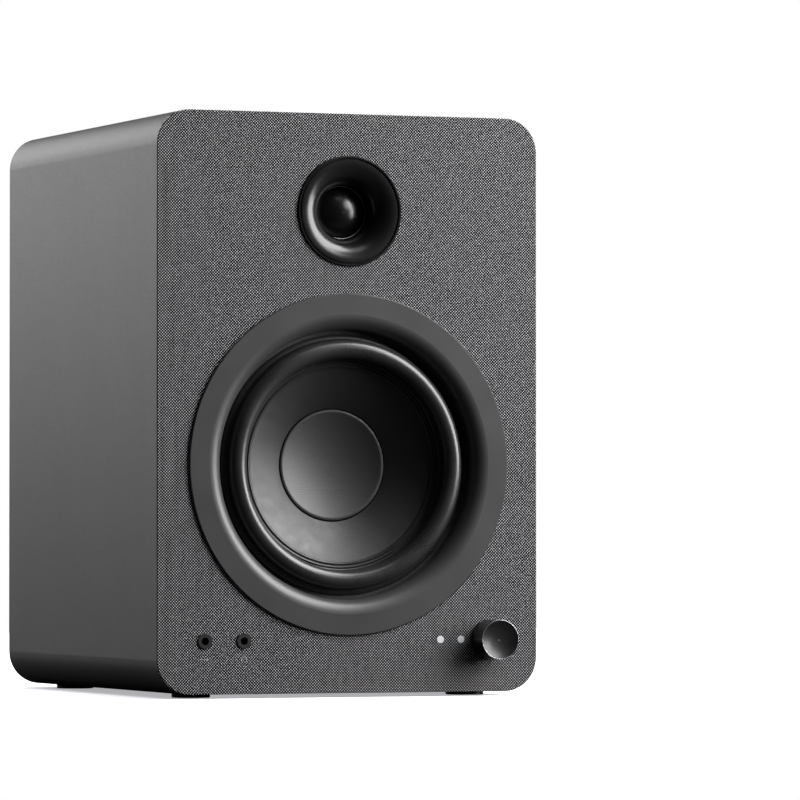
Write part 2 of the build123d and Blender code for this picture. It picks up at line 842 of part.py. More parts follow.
# Small half roll between the dome's edge and a flange clamped behind the waveguide.
tweeter_roll = 1.1
tweeter_film = 0.3
roll_start = dome_radius + 0.2
roll_end = roll_start + 2 * tweeter_roll
roll_sag = 0.6
with BuildPart() as tweeter_surround:
    with BuildSketch(section_plane(0, tweeter_z)):
        with BuildLine():
            Polyline(
                (roll_start, dome_edge_depth),
                (dome_radius, dome_edge_depth),
                (dome_radius, dome_edge_depth + tweeter_film),
                (roll_start, dome_edge_depth + tweeter_film),
            )
            ThreePointArc(
                (roll_start, dome_edge_depth + tweeter_film),
                (roll_start + tweeter_roll, dome_edge_depth + roll_sag + tweeter_film),
                (roll_end, dome_edge_depth + tweeter_film),
            )
            Polyline(
                (roll_end, dome_edge_depth + tweeter_film),
                (tweeter_cup_radius, dome_edge_depth + tweeter_film),
                (tweeter_cup_radius, dome_edge_depth),
                (roll_end, dome_edge_depth),
            )
            ThreePointArc(
                (roll_end, dome_edge_depth),
                (roll_start + tweeter_roll, dome_edge_depth + roll_sag),
                (roll_start, dome_edge_depth),
            )
        make_face()
    revolve(axis=tweeter_axis)
finish(tweeter_surround, "tweeter_surround")

tweeter_former_outer = dome_radius
tweeter_former_inner = dome_radius - 0.2
tweeter_winding_radius = 12.9
tweeter_winding_front = 15.6
tweeter_coil_back = 19.0
with BuildPart() as tweeter_voice_coil:
    with BuildSketch(face_plane(dome_edge_depth + dome_wall, z=tweeter_z)):
        Circle(tweeter_former_outer)
        Circle(tweeter_former_inner, mode=Mode.SUBTRACT)
    extrude(amount=-(tweeter_coil_back - dome_edge_depth - dome_wall))
    with BuildSketch(face_plane(tweeter_winding_front, z=tweeter_z)):
        Circle(tweeter_winding_radius)
        Circle(tweeter_former_inner, mode=Mode.SUBTRACT)
    extrude(amount=-(tweeter_coil_back - tweeter_winding_front))
finish(tweeter_voice_coil, "tweeter_voice_coil")

with BuildPart() as tweeter_pole_plate:
    with BuildSketch(face_plane(tweeter_pole_front, z=tweeter_z)):
        Circle(tweeter_pole_radius)
    extrude(amount=-tweeter_pole_thickness)
finish(tweeter_pole_plate, "tweeter_pole_plate")

tweeter_magnet_front = tweeter_pole_front + tweeter_pole_thickness
with BuildPart() as tweeter_magnet:
    with BuildSketch(face_plane(tweeter_magnet_front, z=tweeter_z)):
        Circle(tweeter_magnet_radius)
    extrude(amount=-tweeter_magnet_thickness)
finish(tweeter_magnet, "tweeter_magnet")

cup_floor_depth = tweeter_magnet_front + tweeter_magnet_thickness
with BuildPart() as tweeter_yoke_cup:
    with BuildSketch(face_plane(tweeter_cup_front, z=tweeter_z)):
        Circle(tweeter_cup_radius)
    extrude(amount=-(cup_floor_depth + tweeter_cup_floor - tweeter_cup_front))
    with BuildSketch(face_plane(tweeter_cup_front, z=tweeter_z)):
        Circle(tweeter_gap_radius)
    extrude(amount=-(cup_floor_depth - tweeter_cup_front), mode=Mode.SUBTRACT)
finish(tweeter_yoke_cup, "tweeter_yoke_cup")

# Closed can that holds the motor inside the barrel, with two solder tabs behind it.
with BuildPart() as tweeter_rear_chamber:
    with BuildSketch(face_plane(throat_back, z=tweeter_z)):
        Circle(barrel_bore)
    extrude(amount=-(chamber_back - throat_back))
    with BuildSketch(face_plane(throat_back, z=tweeter_z)):
        Circle(tweeter_cup_radius)
    extrude(amount=-(chamber_back - chamber_wall - throat_back), mode=Mode.SUBTRACT)
    with BuildSketch(face_plane(chamber_back, z=tweeter_z)):
        with Locations((-solder_tab_x, 0), (solder_tab_x, 0)):
            Rectangle(0.8, 2.8)
    extrude(amount=-solder_tab_length)
finish(tweeter_rear_chamber, "tweeter_rear_chamber")

# ================================================================ front controls

# Turned knob: dished face inside a thin rim, straight side, hollow behind for the nut.
knob_front = -knob_reach
knob_back = -knob_gap
with BuildPart() as volume_knob:
    with BuildSketch(section_plane(knob_x, control_z)):
        with BuildLine():
            dish_start = knob_radius - 0.5
            dish_middle = bowl_depth(dish_start / 2, dish_start, knob_front, knob_dish)
            Polyline(
                (dish_start, knob_front),
                (knob_radius - 0.15, knob_front),
                (knob_radius, knob_front + 0.15),
                (knob_radius, knob_back),
                (knob_hollow_radius, knob_back),
                (knob_hollow_radius, knob_back - knob_hollow_depth),
                (shaft_radius, knob_back - knob_hollow_depth),
                (shaft_radius, shaft_front),
                (0, shaft_front),
                (0, knob_front + knob_dish),
            )
            ThreePointArc(
                (0, knob_front + knob_dish),
                (dish_start / 2, dish_middle),
                (dish_start, knob_front),
            )
        make_face()
    revolve(axis=knob_axis)
    with BuildSketch(face_plane(knob_front - 0.5, x=knob_x, z=control_z)):
        with Locations((0, dish_start - index_dot_inset)):
            Circle(index_dot_radius)
    extrude(amount=-(0.5 + index_dot_depth), mode=Mode.SUBTRACT)
finish(volume_knob, "volume_knob")

# Shaft and wiper disc of the volume control, which turn with the knob.
with BuildPart() as potentiometer_shaft:
    with BuildSketch(face_plane(shaft_front, x=knob_x, z=control_z)):
        Circle(shaft_radius)
    extrude(amount=-(shaft_back - shaft_front))
    with BuildSketch(face_plane(shaft_back, x=knob_x, z=control_z)):
        Circle(wiper_radius)
    extrude(amount=-wiper_thickness)
finish(potentiometer_shaft, "potentiometer_shaft")

shaft_clearance = 0.05
with BuildPart() as potentiometer_body:
    with BuildSketch(face_plane(pot_front, x=knob_x, z=control_z)):
        RectangleRounded(pot_width, pot_width, 1.5)
    extrude(amount=-(pot_back - pot_front))
    with BuildSketch(face_plane(bushing_front, x=knob_x, z=control_z)):
        Circle(bushing_radius)
    extrude(amount=-(pot_front - bushing_front))
    with BuildSketch(face_plane(bushing_front, x=knob_x, z=control_z)):
        Circle(shaft_radius + shaft_clearance)
    extrude(amount=-(shaft_back - wiper_gap - bushing_front), mode=Mode.SUBTRACT)
    with BuildSketch(face_plane(shaft_back - wiper_gap, x=knob_x, z=control_z)):
        Circle(wiper_chamber_radius)
    extrude(amount=-wiper_chamber_depth, mode=Mode.SUBTRACT)
finish(potentiometer_body, "potentiometer_body")

with BuildPart() as potentiometer_nut:
    with BuildSketch(face_plane(-nut_thickness, x=knob_x, z=control_z)):
        RegularPolygon(nut_size, 6)
        Circle(bushing_radius, mode=Mode.SUBTRACT)
    extrude(amount=-nut_thickness)
finish(potentiometer_nut, "potentiometer_nut")


def build_jack(jack_x, name):
    """A 3.5 mm socket: plastic body in the pocket, round bush through the baffle, plug bore."""
    with BuildPart() as jack:
        with BuildSketch(face_plane(pocket_front, x=jack_x, z=control_z)):
            RectangleRounded(jack_body_width, jack_body_width, 0.6)
        extrude(amount=-(board_front - pocket_front))
        with BuildSketch(face_plane(-jack_bezel_proud, x=jack_x, z=control_z)):
            Circle(jack_bush_radius)
        extrude(amount=-(pocket_front + jack_bezel_proud))
        with BuildSketch(face_plane(-jack_bezel_proud, x=jack_x, z=control_z)):
            Circle(jack_bore_radius)
        extrude(amount=-jack_bore_depth, mode=Mode.SUBTRACT)
    finish(jack, name)


build_jack(aux_x, "aux_jack")
build_jack(headphone_x, "headphone_jack")

with BuildPart() as jack_bezels:
    with BuildSketch(face_plane(-jack_bezel_proud, z=control_z)):
        with Locations((aux_x, 0), (headphone_x, 0)):
            Circle(jack_bezel_radius)
            Circle(jack_bush_radius, mode=Mode.SUBTRACT)
    extrude(amount=-jack_bezel_proud)
    rims = jack_bezels.faces().group_by(Axis.Y)[0].edges().filter_by(
        lambda edge: edge.radius > jack_bush_radius + 0.1
    )
    chamfer(rims, length=0.2)
finish(jack_bezels, "jack_bezels")

# Clear light pipes that carry the status lights from the board to the face.
with BuildPart() as led_light_pipes:
    with BuildSketch(face_plane(-light_proud, z=control_z)):
        with Locations((light_x[0], 0), (light_x[1], 0)):
            Circle(light_radius)
    extrude(amount=-(pocket_front + light_proud))
    with BuildSketch(face_plane(pocket_front, z=control_z)):
        with Locations((light_x[0], 0), (light_x[1], 0)):
            Circle(light_radius + light_pipe_skirt)
    extrude(amount=-(board_front - light_chip_height - pocket_front))
finish(led_light_pipes, "led_light_pipes")

# Two small circuit boards behind the baffle, with a light chip behind each pipe.
with BuildPart() as control_board:
    with BuildSketch(face_plane(board_front, z=board_bottom + board_height / 2)):
        with Locations((jack_board_x, 0)):
            Rectangle(jack_board_width, board_height)
        with Locations((control_board_x, 0)):
            Rectangle(control_board_width, board_height)
    extrude(amount=-board_thickness)
    with BuildSketch(face_plane(board_front - light_chip_height, z=control_z)):
        with Locations((light_x[0], 0), (light_x[1], 0)):
            Rectangle(2.0, 1.6)
    extrude(amount=-light_chip_height)
    with BuildSketch(face_plane(board_front + board_thickness, z=control_z)):
        with Locations((jack_board_x, 2), (control_board_x, 2)):
            Rectangle(12, 6)
    extrude(amount=-5.0)
    with BuildSketch(face_plane(board_front, z=board_screw_z)):
        for board_x in (jack_board_x, control_board_x):
            with Locations((board_x - board_screw_offset, 0), (board_x + board_screw_offset, 0)):
                Circle(board_screw_clearance)
    extrude(amount=-board_thickness, mode=Mode.SUBTRACT)
finish(control_board, "control_board")

with BuildPart() as board_screws:
    with BuildSketch(face_plane(board_front + board_thickness, z=board_screw_z)):
        for board_x in (jack_board_x, control_board_x):
            with Locations((board_x - board_screw_offset, 0), (board_x + board_screw_offset, 0)):
                Circle(board_screw_head)
    extrude(amount=-board_screw_head_height)
    with BuildSketch(face_plane(board_front + board_thickness, z=board_screw_z)):
        for board_x in (jack_board_x, control_board_x):
            with Locations((board_x - board_screw_offset, 0), (board_x + board_screw_offset, 0)):
                Circle(board_screw_radius)
    extrude(amount=board_screw_length)
finish(board_screws, "board_screws")

# ================================================================ rear plate

with BuildPart() as amp_plate:
    with BuildSketch(face_plane(plate_front, z=plate_z)):
        RectangleRounded(plate_width, plate_height, plate_corner)
    extrude(amount=-plate_thickness)
    with BuildSketch(face_plane(plate_front)):
        with Locations((rca_x[0], rca_z), (rca_x[1], rca_z)):
            Circle(rca_neck_radius)
        with Locations((clip_block_x, clip_block_z)):
            Rectangle(clip_block_width - 6, clip_block_height - 6)
        with Locations((switch_x, switch_z)):
            Rectangle(switch_width - 2, switch_height - 2)
        with Locations((inlet_x, inlet_z)):
            Rectangle(inlet_width - 4, inlet_height - 3)
        with Locations((0, plate_z)):
            with GridLocations(2 * plate_screw_x, 2 * plate_screw_z, 2, 2):
                Circle(plate_screw_clearance)
            with GridLocations(2 * plate_screw_x, 1, 2, 1):
                Circle(plate_screw_clearance)
        for hole_z in standoff_z:
            with Locations((-standoff_x, hole_z), (standoff_x, hole_z)):
                Circle(standoff_screw_clearance)
    extrude(amount=-plate_thickness, mode=Mode.SUBTRACT)
    fillet(amp_plate.faces().sort_by(Axis.Y)[-1].outer_wire().edges(), radius=0.6)
finish(amp_plate, "amp_plate")

with BuildPart() as amp_plate_gasket:
    with BuildSketch(face_plane(cabinet_depth, z=plate_z)):
        RectangleRounded(plate_width - 2, plate_height - 2, plate_corner - 1)
        Rectangle(opening_width, opening_height, mode=Mode.SUBTRACT)
        with GridLocations(2 * plate_screw_x, 2 * plate_screw_z, 2, 2):
            Circle(plate_screw_clearance, mode=Mode.SUBTRACT)
        with GridLocations(2 * plate_screw_x, 1, 2, 1):
            Circle(plate_screw_clearance, mode=Mode.SUBTRACT)
    extrude(amount=-gasket_thickness)
finish(amp_plate_gasket, "amp_plate_gasket")

# Six screws round the plate's edge and four into the standoffs, all with cross slots.
plate_screw_head = 1.5
with BuildPart() as amp_plate_screws:
    with BuildSketch(face_plane(plate_back, z=plate_z)):
        with GridLocations(2 * plate_screw_x, 2 * plate_screw_z, 2, 2):
            Circle(plate_screw_head_radius)
        with GridLocations(2 * plate_screw_x, 1, 2, 1):
            Circle(plate_screw_head_radius)
        for hole_z in standoff_z:
            with Locations((-standoff_x, hole_z - plate_z), (standoff_x, hole_z - plate_z)):
                Circle(standoff_screw_head)
    extrude(amount=-plate_screw_head)
    fillet(amp_plate_screws.faces().group_by(Axis.Y)[-1].edges(), radius=0.5)
    with BuildSketch(face_plane(plate_back, z=plate_z)):
        with GridLocations(2 * plate_screw_x, 2 * plate_screw_z, 2, 2):
            Circle(plate_screw_radius)
        with GridLocations(2 * plate_screw_x, 1, 2, 1):
            Circle(plate_screw_radius)
    extrude(amount=plate_back - rear_panel_front - 1)
    with BuildSketch(face_plane(plate_back, z=0)):
        for hole_z in standoff_z:
            with Locations((-standoff_x, hole_z), (standoff_x, hole_z)):
                Circle(standoff_screw_radius)
    extrude(amount=standoff_screw_length)
    with BuildSketch(face_plane(plate_back + plate_screw_head, z=plate_z)):
        with GridLocations(2 * plate_screw_x, 2 * plate_screw_z, 2, 2):
            Rectangle(plate_slot_length, plate_slot_width)
            Rectangle(plate_slot_width, plate_slot_length)
        with GridLocations(2 * plate_screw_x, 1, 2, 1):
            Rectangle(plate_slot_length, plate_slot_width)
            Rectangle(plate_slot_width, plate_slot_length)
        for hole_z in standoff_z:
            with Locations((-standoff_x, hole_z - plate_z), (standoff_x, hole_z - plate_z)):
                Rectangle(standoff_slot_length, slot_width)
                Rectangle(slot_width, standoff_slot_length)
    extrude(amount=plate_slot_depth, mode=Mode.SUBTRACT)
finish(amp_plate_screws, "amp_plate_screws")

with BuildPart() as amp_board_standoffs:
    with BuildSketch(face_plane(amp_board_depth + board_thickness)):
        for hole_z in standoff_z:
            with Locations((-standoff_x, hole_z), (standoff_x, hole_z)):
                RegularPolygon(standoff_radius, 6)
                Circle(standoff_screw_radius, mode=Mode.SUBTRACT)
    extrude(amount=-(plate_front - amp_board_depth - board_thickness))
finish(amp_board_standoffs, "amp_board_standoffs")

# Main amplifier board with its amplifier chip and a row of cable headers.
with BuildPart() as amp_board:
    amp_board_middle = (amp_board_bottom + amp_board_top) / 2
    with BuildSketch(face_plane(amp_board_depth, z=amp_board_middle)):
        Rectangle(amp_board_width, amp_board_top - amp_board_bottom)
        with GridLocations(2 * standoff_x, standoff_z[1] - standoff_z[0], 2, 2):
            Circle(standoff_screw_radius, mode=Mode.SUBTRACT)
    extrude(amount=-board_thickness)
    with BuildSketch(face_plane(amp_board_depth, z=amp_board_middle)):
        with Locations((0, 18)):
            Rectangle(24, 14)
        with Locations((-34, -header_drop), (-12, -header_drop), (header_x, -header_drop)):
            Rectangle(14, 6)
        with Locations((tweeter_header_x, -tweeter_header_drop)):
            Rectangle(16, 16)
        with GridLocations(8, 9, 3, 2):
            Rectangle(3, 2)
    extrude(amount=header_height)
finish(amp_board, "amp_board")

# Finned heat sink bolted over the amplifier chip.
fin_count = 7
fin_pitch = 9.5
fin_thickness = 1.8
fin_reach = 18.0
sink_base = 4.0
sink_width = 60.0
sink_height = 34.0
with BuildPart() as heat_sink:
    sink_z = amp_board_middle + 18
    sink_back = amp_board_depth - header_height
    with BuildSketch(face_plane(sink_back - sink_base, z=sink_z)):
        Rectangle(sink_width, sink_height)
    extrude(amount=-sink_base)
    with BuildSketch(face_plane(sink_back - sink_base - fin_reach, z=sink_z)):
        with GridLocations(fin_pitch, 1, fin_count, 1):
            Rectangle(fin_thickness, sink_height)
    extrude(amount=-fin_reach)
finish(heat_sink, "heat_sink")

capacitor_radius = 8.0
capacitor_length = 25.0
capacitor_z = 4.0
capacitor_x = (-36.0, -18.0, 0.0)
crimp_offset = 2.4
crimp_depth = 0.4
with BuildPart() as filter_capacitors:
    crimp_front = amp_board_depth - capacitor_length + crimp_offset
    with BuildSketch(face_plane(amp_board_depth - capacitor_length, z=amp_board_middle - 30)):
        with Locations(*[(x, capacitor_z) for x in capacitor_x]):
            Circle(capacitor_radius)
    extrude(amount=-capacitor_length)
    fillet(filter_capacitors.faces().group_by(Axis.Y)[0].edges(), radius=1.0)
    with BuildSketch(face_plane(crimp_front, z=amp_board_middle - 30)):
        with Locations(*[(x, capacitor_z) for x in capacitor_x]):
            Circle(capacitor_radius)
            Circle(capacitor_radius - crimp_depth, mode=Mode.SUBTRACT)
    extrude(amount=-2 * crimp_depth, mode=Mode.SUBTRACT)
finish(filter_capacitors, "filter_capacitors")

# Wound ring transformer that lies on the cabinet floor.
transformer_y = front_y + transformer_depth
transformer_middle = (transformer_radius + transformer_bore) / 2
with BuildPart() as toroidal_transformer:
    transformer_foot = (transformer_x, transformer_y, floor_z)
    with BuildSketch(Plane(origin=transformer_foot, x_dir=(1, 0, 0), z_dir=(0, -1, 0))):
        with Locations((transformer_middle, transformer_height / 2)):
            RectangleRounded(
                transformer_radius - transformer_bore,
                transformer_height,
                transformer_corner,
            )
    revolve(axis=Axis((transformer_x, transformer_y, 0), (0, 0, 1)))
finish(toroidal_transformer, "toroidal_transformer")

# Dished washer and bolt that clamp the transformer to the floor.
with BuildPart() as transformer_clamp:
    with BuildSketch(Plane.XY.offset(floor_z + transformer_height)):
        with Locations((transformer_x, transformer_y)):
            Circle(clamp_radius)
    extrude(amount=clamp_thickness)
    with BuildSketch(Plane.XY.offset(floor_z + transformer_height + clamp_thickness)):
        with Locations((transformer_x, transformer_y)):
            RegularPolygon(clamp_nut_size, 6)
    extrude(amount=clamp_nut_height)
    with BuildSketch(Plane.XY.offset(floor_z - transformer_bolt_grip)):
        with Locations((transformer_x, transformer_y)):
            Circle(transformer_bolt_radius)
    extrude(amount=transformer_height + transformer_bolt_grip)
finish(transformer_clamp, "transformer_clamp")

# Phono socket shells and the plastic rings inside them.
shell_front = plate_front - rca_inner_reach
shell_back = plate_back + rca_shell_reach
with BuildPart() as rca_shells:
    with BuildSketch(face_plane(shell_front, z=rca_z)):
        with Locations((rca_x[0], 0), (rca_x[1], 0)):
            Circle(rca_neck_radius)
    extrude(amount=-(plate_back + rca_collar - shell_front))
    with BuildSketch(face_plane(plate_back + rca_collar, z=rca_z)):
        with Locations((rca_x[0], 0), (rca_x[1], 0)):
            Circle(rca_radius)
    extrude(amount=-(shell_back - plate_back - rca_collar))
    with BuildSketch(face_plane(shell_front, z=rca_z)):
        with Locations((rca_x[0], 0), (rca_x[1], 0)):
            Circle(rca_shell_bore)
    extrude(amount=-(shell_back - shell_front), mode=Mode.SUBTRACT)
finish(rca_shells, "rca_shells")

with BuildPart() as rca_insulators:
    insulator_back = shell_back - rca_insulator_setback
    with BuildSketch(face_plane(shell_front, z=rca_z)):
        with Locations((rca_x[0], 0), (rca_x[1], 0)):
            Circle(rca_shell_bore)
    extrude(amount=-(insulator_back - shell_front))
    with BuildSketch(face_plane(insulator_back, z=rca_z)):
        with Locations((rca_x[0], 0), (rca_x[1], 0)):
            Circle(rca_pin_bore)
    extrude(amount=10.0, mode=Mode.SUBTRACT)
    with BuildSketch(face_plane(plate_back, z=rca_z)):
        with Locations((rca_x[0], 0), (rca_x[1], 0)):
            Circle(rca_radius + rca_collar_width)
            Circle(rca_neck_radius, mode=Mode.SUBTRACT)
    extrude(amount=-rca_collar)
finish(rca_insulators, "rca_insulators")

# Output terminal block for the second speaker: flange, body, lever windows and wire holes.
clip_back = plate_back + clip_flange
clip_body_front = plate_front - clip_body_reach
with BuildPart() as speaker_terminal_housing:
    with BuildSketch(face_plane(plate_back, x=clip_block_x, z=clip_block_z)):
        RectangleRounded(clip_block_width, clip_block_height, 2)
    extrude(amount=-clip_flange)
    with BuildSketch(face_plane(clip_body_front, x=clip_block_x, z=clip_block_z)):
        Rectangle(clip_block_width - 6, clip_block_height - 6)
    extrude(amount=-(plate_back - clip_body_front))
    with BuildSketch(face_plane(clip_back, x=clip_block_x, z=clip_block_z + clip_window_drop)):
        with Locations((-clip_offset, 0), (clip_offset, 0)):
            Rectangle(clip_window_width, clip_window_height)
    extrude(amount=clip_back - clip_body_front - clip_wall, mode=Mode.SUBTRACT)
    with BuildSketch(face_plane(clip_back, x=clip_block_x, z=clip_block_z - clip_hole_drop)):
        with Locations((-clip_offset, 0), (clip_offset, 0)):
            Circle(clip_hole_radius)
    extrude(amount=clip_wire_depth, mode=Mode.SUBTRACT)
    for offset in (-clip_offset, clip_offset):
        with BuildSketch(side_plane(clip_block_x + offset)):
            with Locations((clip_pivot_depth, clip_pivot_z)):
                Circle(clip_pin_radius + pin_clearance)
        extrude(amount=clip_pin_length / 2 + 0.2, both=True, mode=Mode.SUBTRACT)
finish(speaker_terminal_housing, "speaker_terminal_housing")


def build_clip_lever(offset, name):
    """A push lever: round pivot at the top, a bar across the window and a thumb pad."""
    with BuildPart() as lever:
        with BuildSketch(side_plane(clip_block_x + offset - clip_lever_width / 2)):
            with BuildLine():
                Polyline(
                    (clip_pivot_depth - clip_pivot_boss, clip_pivot_z),
                    (clip_pivot_depth + clip_pivot_boss, clip_pivot_z),
                    (clip_back + 2.5, clip_pivot_z - 7.0),
                    (clip_back + 4.0, clip_pivot_z - 11.5),
                    (clip_back + 1.0, clip_pivot_z - 12.2),
                    (clip_pivot_depth - clip_pivot_boss, clip_pivot_z - 5.0),
                    close=True,
                )
            make_face()
            with Locations((clip_pivot_depth, clip_pivot_z)):
                Circle(clip_pivot_boss)
        extrude(amount=clip_lever_width)
        with BuildSketch(side_plane(clip_block_x + offset)):
            with Locations((clip_pivot_depth, clip_pivot_z)):
                Circle(clip_pin_radius)
        extrude(amount=clip_pin_length / 2, both=True)
    finish(lever, name)


build_clip_lever(clip_offset, "red_clip_lever")
build_clip_lever(-clip_offset, "black_clip_lever")

# Mains switch: fixed bezel and a rocker drawn in its off position, against one stop.
switch_back = plate_back + 1.5
switch_body_front = plate_front - 12.0
rocker_pivot_depth = plate_back - 1.0
rocker_pin_length = rocker_width + 2.0
with BuildPart() as power_switch_bezel:
    with BuildSketch(face_plane(plate_back, x=switch_x, z=switch_z)):
        RectangleRounded(switch_width, switch_height, 1.5)
    extrude(amount=-(switch_back - plate_back))
    with BuildSketch(face_plane(switch_body_front, x=switch_x, z=switch_z)):
        Rectangle(switch_width - 2, switch_height - 2)
    extrude(amount=-(plate_back - switch_body_front))
    with BuildSketch(face_plane(switch_back, x=switch_x, z=switch_z)):
        Rectangle(rocker_width + 0.6, 2 * rocker_radius + 0.8)
    extrude(amount=switch_back - switch_body_front - 2.0, mode=Mode.SUBTRACT)
    with BuildSketch(side_plane(switch_x)):
        with Locations((rocker_pivot_depth, switch_z)):
            Circle(clip_pin_radius + pin_clearance)
    extrude(amount=rocker_pin_length / 2 + 0.1, both=True, mode=Mode.SUBTRACT)
finish(power_switch_bezel, "power_switch_bezel")

rocker_face = switch_back + 1.0 - rocker_pivot_depth
rocker_waist = 1.2
rocker_floor = -3.0
rocker_floor_half = math.sqrt(rocker_radius**2 - rocker_floor**2)
with BuildPart() as power_switch_rocker:
    with BuildSketch(
        Plane(
            origin=(switch_x - rocker_width / 2, front_y + rocker_pivot_depth, switch_z),
            x_dir=(0, math.cos(math.radians(rocker_tilt)), math.sin(math.radians(rocker_tilt))),
            z_dir=(1, 0, 0),
        )
    ):
        with BuildLine():
            end_rise = math.sqrt(rocker_radius**2 - (rocker_face + rocker_waist) ** 2)
            Polyline(
                (rocker_face + rocker_waist, end_rise),
                (rocker_face, 0),
                (rocker_face + rocker_waist, -end_rise),
            )
            ThreePointArc(
                (rocker_face + rocker_waist, -end_rise),
                (0.0, -rocker_radius),
                (rocker_floor, -rocker_floor_half),
            )
            Line(
                (rocker_floor, -rocker_floor_half),
                (rocker_floor, rocker_floor_half),
            )
            ThreePointArc(
                (rocker_floor, rocker_floor_half),
                (0.0, rocker_radius),
                (rocker_face + rocker_waist, end_rise),
            )
        make_face()
    extrude(amount=rocker_width)
    with BuildSketch(side_plane(switch_x)):
        with Locations((rocker_pivot_depth, switch_z)):
            Circle(clip_pin_radius)
    extrude(amount=rocker_pin_length / 2, both=True)
finish(power_switch_rocker, "power_switch_rocker")

# Two-pin mains socket: rounded flange and a figure-of-eight well, with its pins.
inlet_back = plate_back + inlet_flange
inlet_body_front = inlet_back - inlet_socket_depth - inlet_body_wall
with BuildPart() as mains_inlet:
    with BuildSketch(face_plane(plate_back, x=inlet_x, z=inlet_z)):
        RectangleRounded(inlet_width, inlet_height, 3)
    extrude(amount=-inlet_flange)
    with BuildSketch(face_plane(inlet_body_front, x=inlet_x, z=inlet_z)):
        Rectangle(inlet_width - 4, inlet_height - 3)
    extrude(amount=-(plate_back - inlet_body_front))
    with BuildSketch(face_plane(inlet_back, x=inlet_x, z=inlet_z)):
        SlotCenterToCenter(inlet_pitch, inlet_socket_width)
    extrude(amount=inlet_socket_depth, mode=Mode.SUBTRACT)
finish(mains_inlet, "mains_inlet")

with BuildPart() as mains_inlet_pins:
    with BuildSketch(face_plane(inlet_back - inlet_socket_depth, x=inlet_x, z=inlet_z)):
        with Locations((-inlet_pitch / 2, 0), (inlet_pitch / 2, 0)):
            Circle(inlet_pin_radius)
    extrude(amount=-(inlet_socket_depth - inlet_pin_setback))
    chamfer(mains_inlet_pins.faces().group_by(Axis.Y)[-1].edges(), length=0.5)
finish(mains_inlet_pins, "mains_inlet_pins")

# Wires from the amplifier board's headers: two to the woofer's tabs, two to the tweeter's.
header_depth = amp_board_depth - header_height
header_z = amp_board_middle - header_drop
tweeter_header_z = amp_board_middle - tweeter_header_drop
woofer_tab_end = terminal_z - terminal_thickness - terminal_tab_length
# Each route is straight runs joined by tangent bends.
lead_routes = []
for side in (-1, 1):
    tab_x = terminal_tab_x * side
    start_x = header_x + lead_pitch * side
    woofer_route = [
        (start_x, front_y + header_depth, header_z),
        (start_x, front_y + 120.0, header_z),
        (tab_x, front_y + 90.0, woofer_tab_end - 6.0),
        (tab_x, front_y + terminal_depth, woofer_tab_end - 6.0),
        (tab_x, front_y + terminal_depth, woofer_tab_end),
    ]
    lead_routes.append((woofer_route, [lead_bend, lead_bend, 4.0]))
for side in (-1, 1):
    tab_x = solder_tab_x * side
    start_x = tweeter_header_x + lead_pitch * side
    tweeter_route = [
        (start_x, front_y + header_depth, tweeter_header_z),
        (start_x, front_y + 140.0, tweeter_header_z),
        (start_x, front_y + 120.0, tweeter_z - 30),
        (tab_x, front_y + 60.0, tweeter_z),
        (tab_x, front_y + chamber_back + solder_tab_length, tweeter_z),
    ]
    lead_routes.append((tweeter_route, [lead_bend, lead_bend, 8.0]))

with BuildPart() as driver_leads:
    for route_points, route_bends in lead_routes:
        with BuildLine() as route:
            FilletPolyline(*route_points, radius=route_bends)
        with BuildSketch(Plane(origin=route.line @ 0, z_dir=route.line % 0)):
            Circle(lead_radius)
        sweep(path=route.line)
finish(driver_leads, "driver_leads")
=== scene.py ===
import json
import math

import bpy
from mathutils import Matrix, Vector


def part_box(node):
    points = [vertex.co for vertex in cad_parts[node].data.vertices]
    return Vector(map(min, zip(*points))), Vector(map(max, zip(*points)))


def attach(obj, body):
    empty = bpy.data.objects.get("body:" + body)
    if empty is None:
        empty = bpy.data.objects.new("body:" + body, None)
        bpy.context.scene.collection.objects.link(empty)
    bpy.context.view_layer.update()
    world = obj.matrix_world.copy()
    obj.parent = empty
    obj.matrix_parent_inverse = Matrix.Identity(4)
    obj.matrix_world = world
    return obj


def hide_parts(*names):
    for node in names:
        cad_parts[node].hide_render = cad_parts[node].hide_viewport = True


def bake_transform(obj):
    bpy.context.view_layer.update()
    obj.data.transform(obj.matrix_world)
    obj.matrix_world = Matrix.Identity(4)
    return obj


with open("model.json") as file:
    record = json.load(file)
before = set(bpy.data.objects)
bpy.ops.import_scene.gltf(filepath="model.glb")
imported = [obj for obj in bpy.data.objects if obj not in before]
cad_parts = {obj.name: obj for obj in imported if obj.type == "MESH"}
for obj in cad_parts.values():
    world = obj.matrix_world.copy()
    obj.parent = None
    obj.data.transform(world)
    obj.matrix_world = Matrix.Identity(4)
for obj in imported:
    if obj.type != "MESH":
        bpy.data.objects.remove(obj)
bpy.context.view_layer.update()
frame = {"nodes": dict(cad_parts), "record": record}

# The looks of the bookshelf speaker: materials for every CAD node, and the soft or fine pieces
# that the CAD leaves plain. Metres, +Z up, the front faces -Y.

nodes = frame["nodes"]

# ------------------------------------------------------------------ places, read from the frame


def low(node):
    return Vector(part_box(node)[0])


def high(node):
    return Vector(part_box(node)[1])


def middle(node):
    return (low(node) + high(node)) / 2


def half_width(node):
    return (high(node).x - low(node).x) / 2


face_y = low("baffle_skin").y
face_low_z = low("baffle_skin").z
woofer = middle("woofer_trim_ring")
tweeter = middle("tweeter_waveguide")
knob = middle("volume_knob")
cone_body, dome_body = "woofer_cone_assembly", "tweeter_dome_assembly"

# ------------------------------------------------------------------ shader building


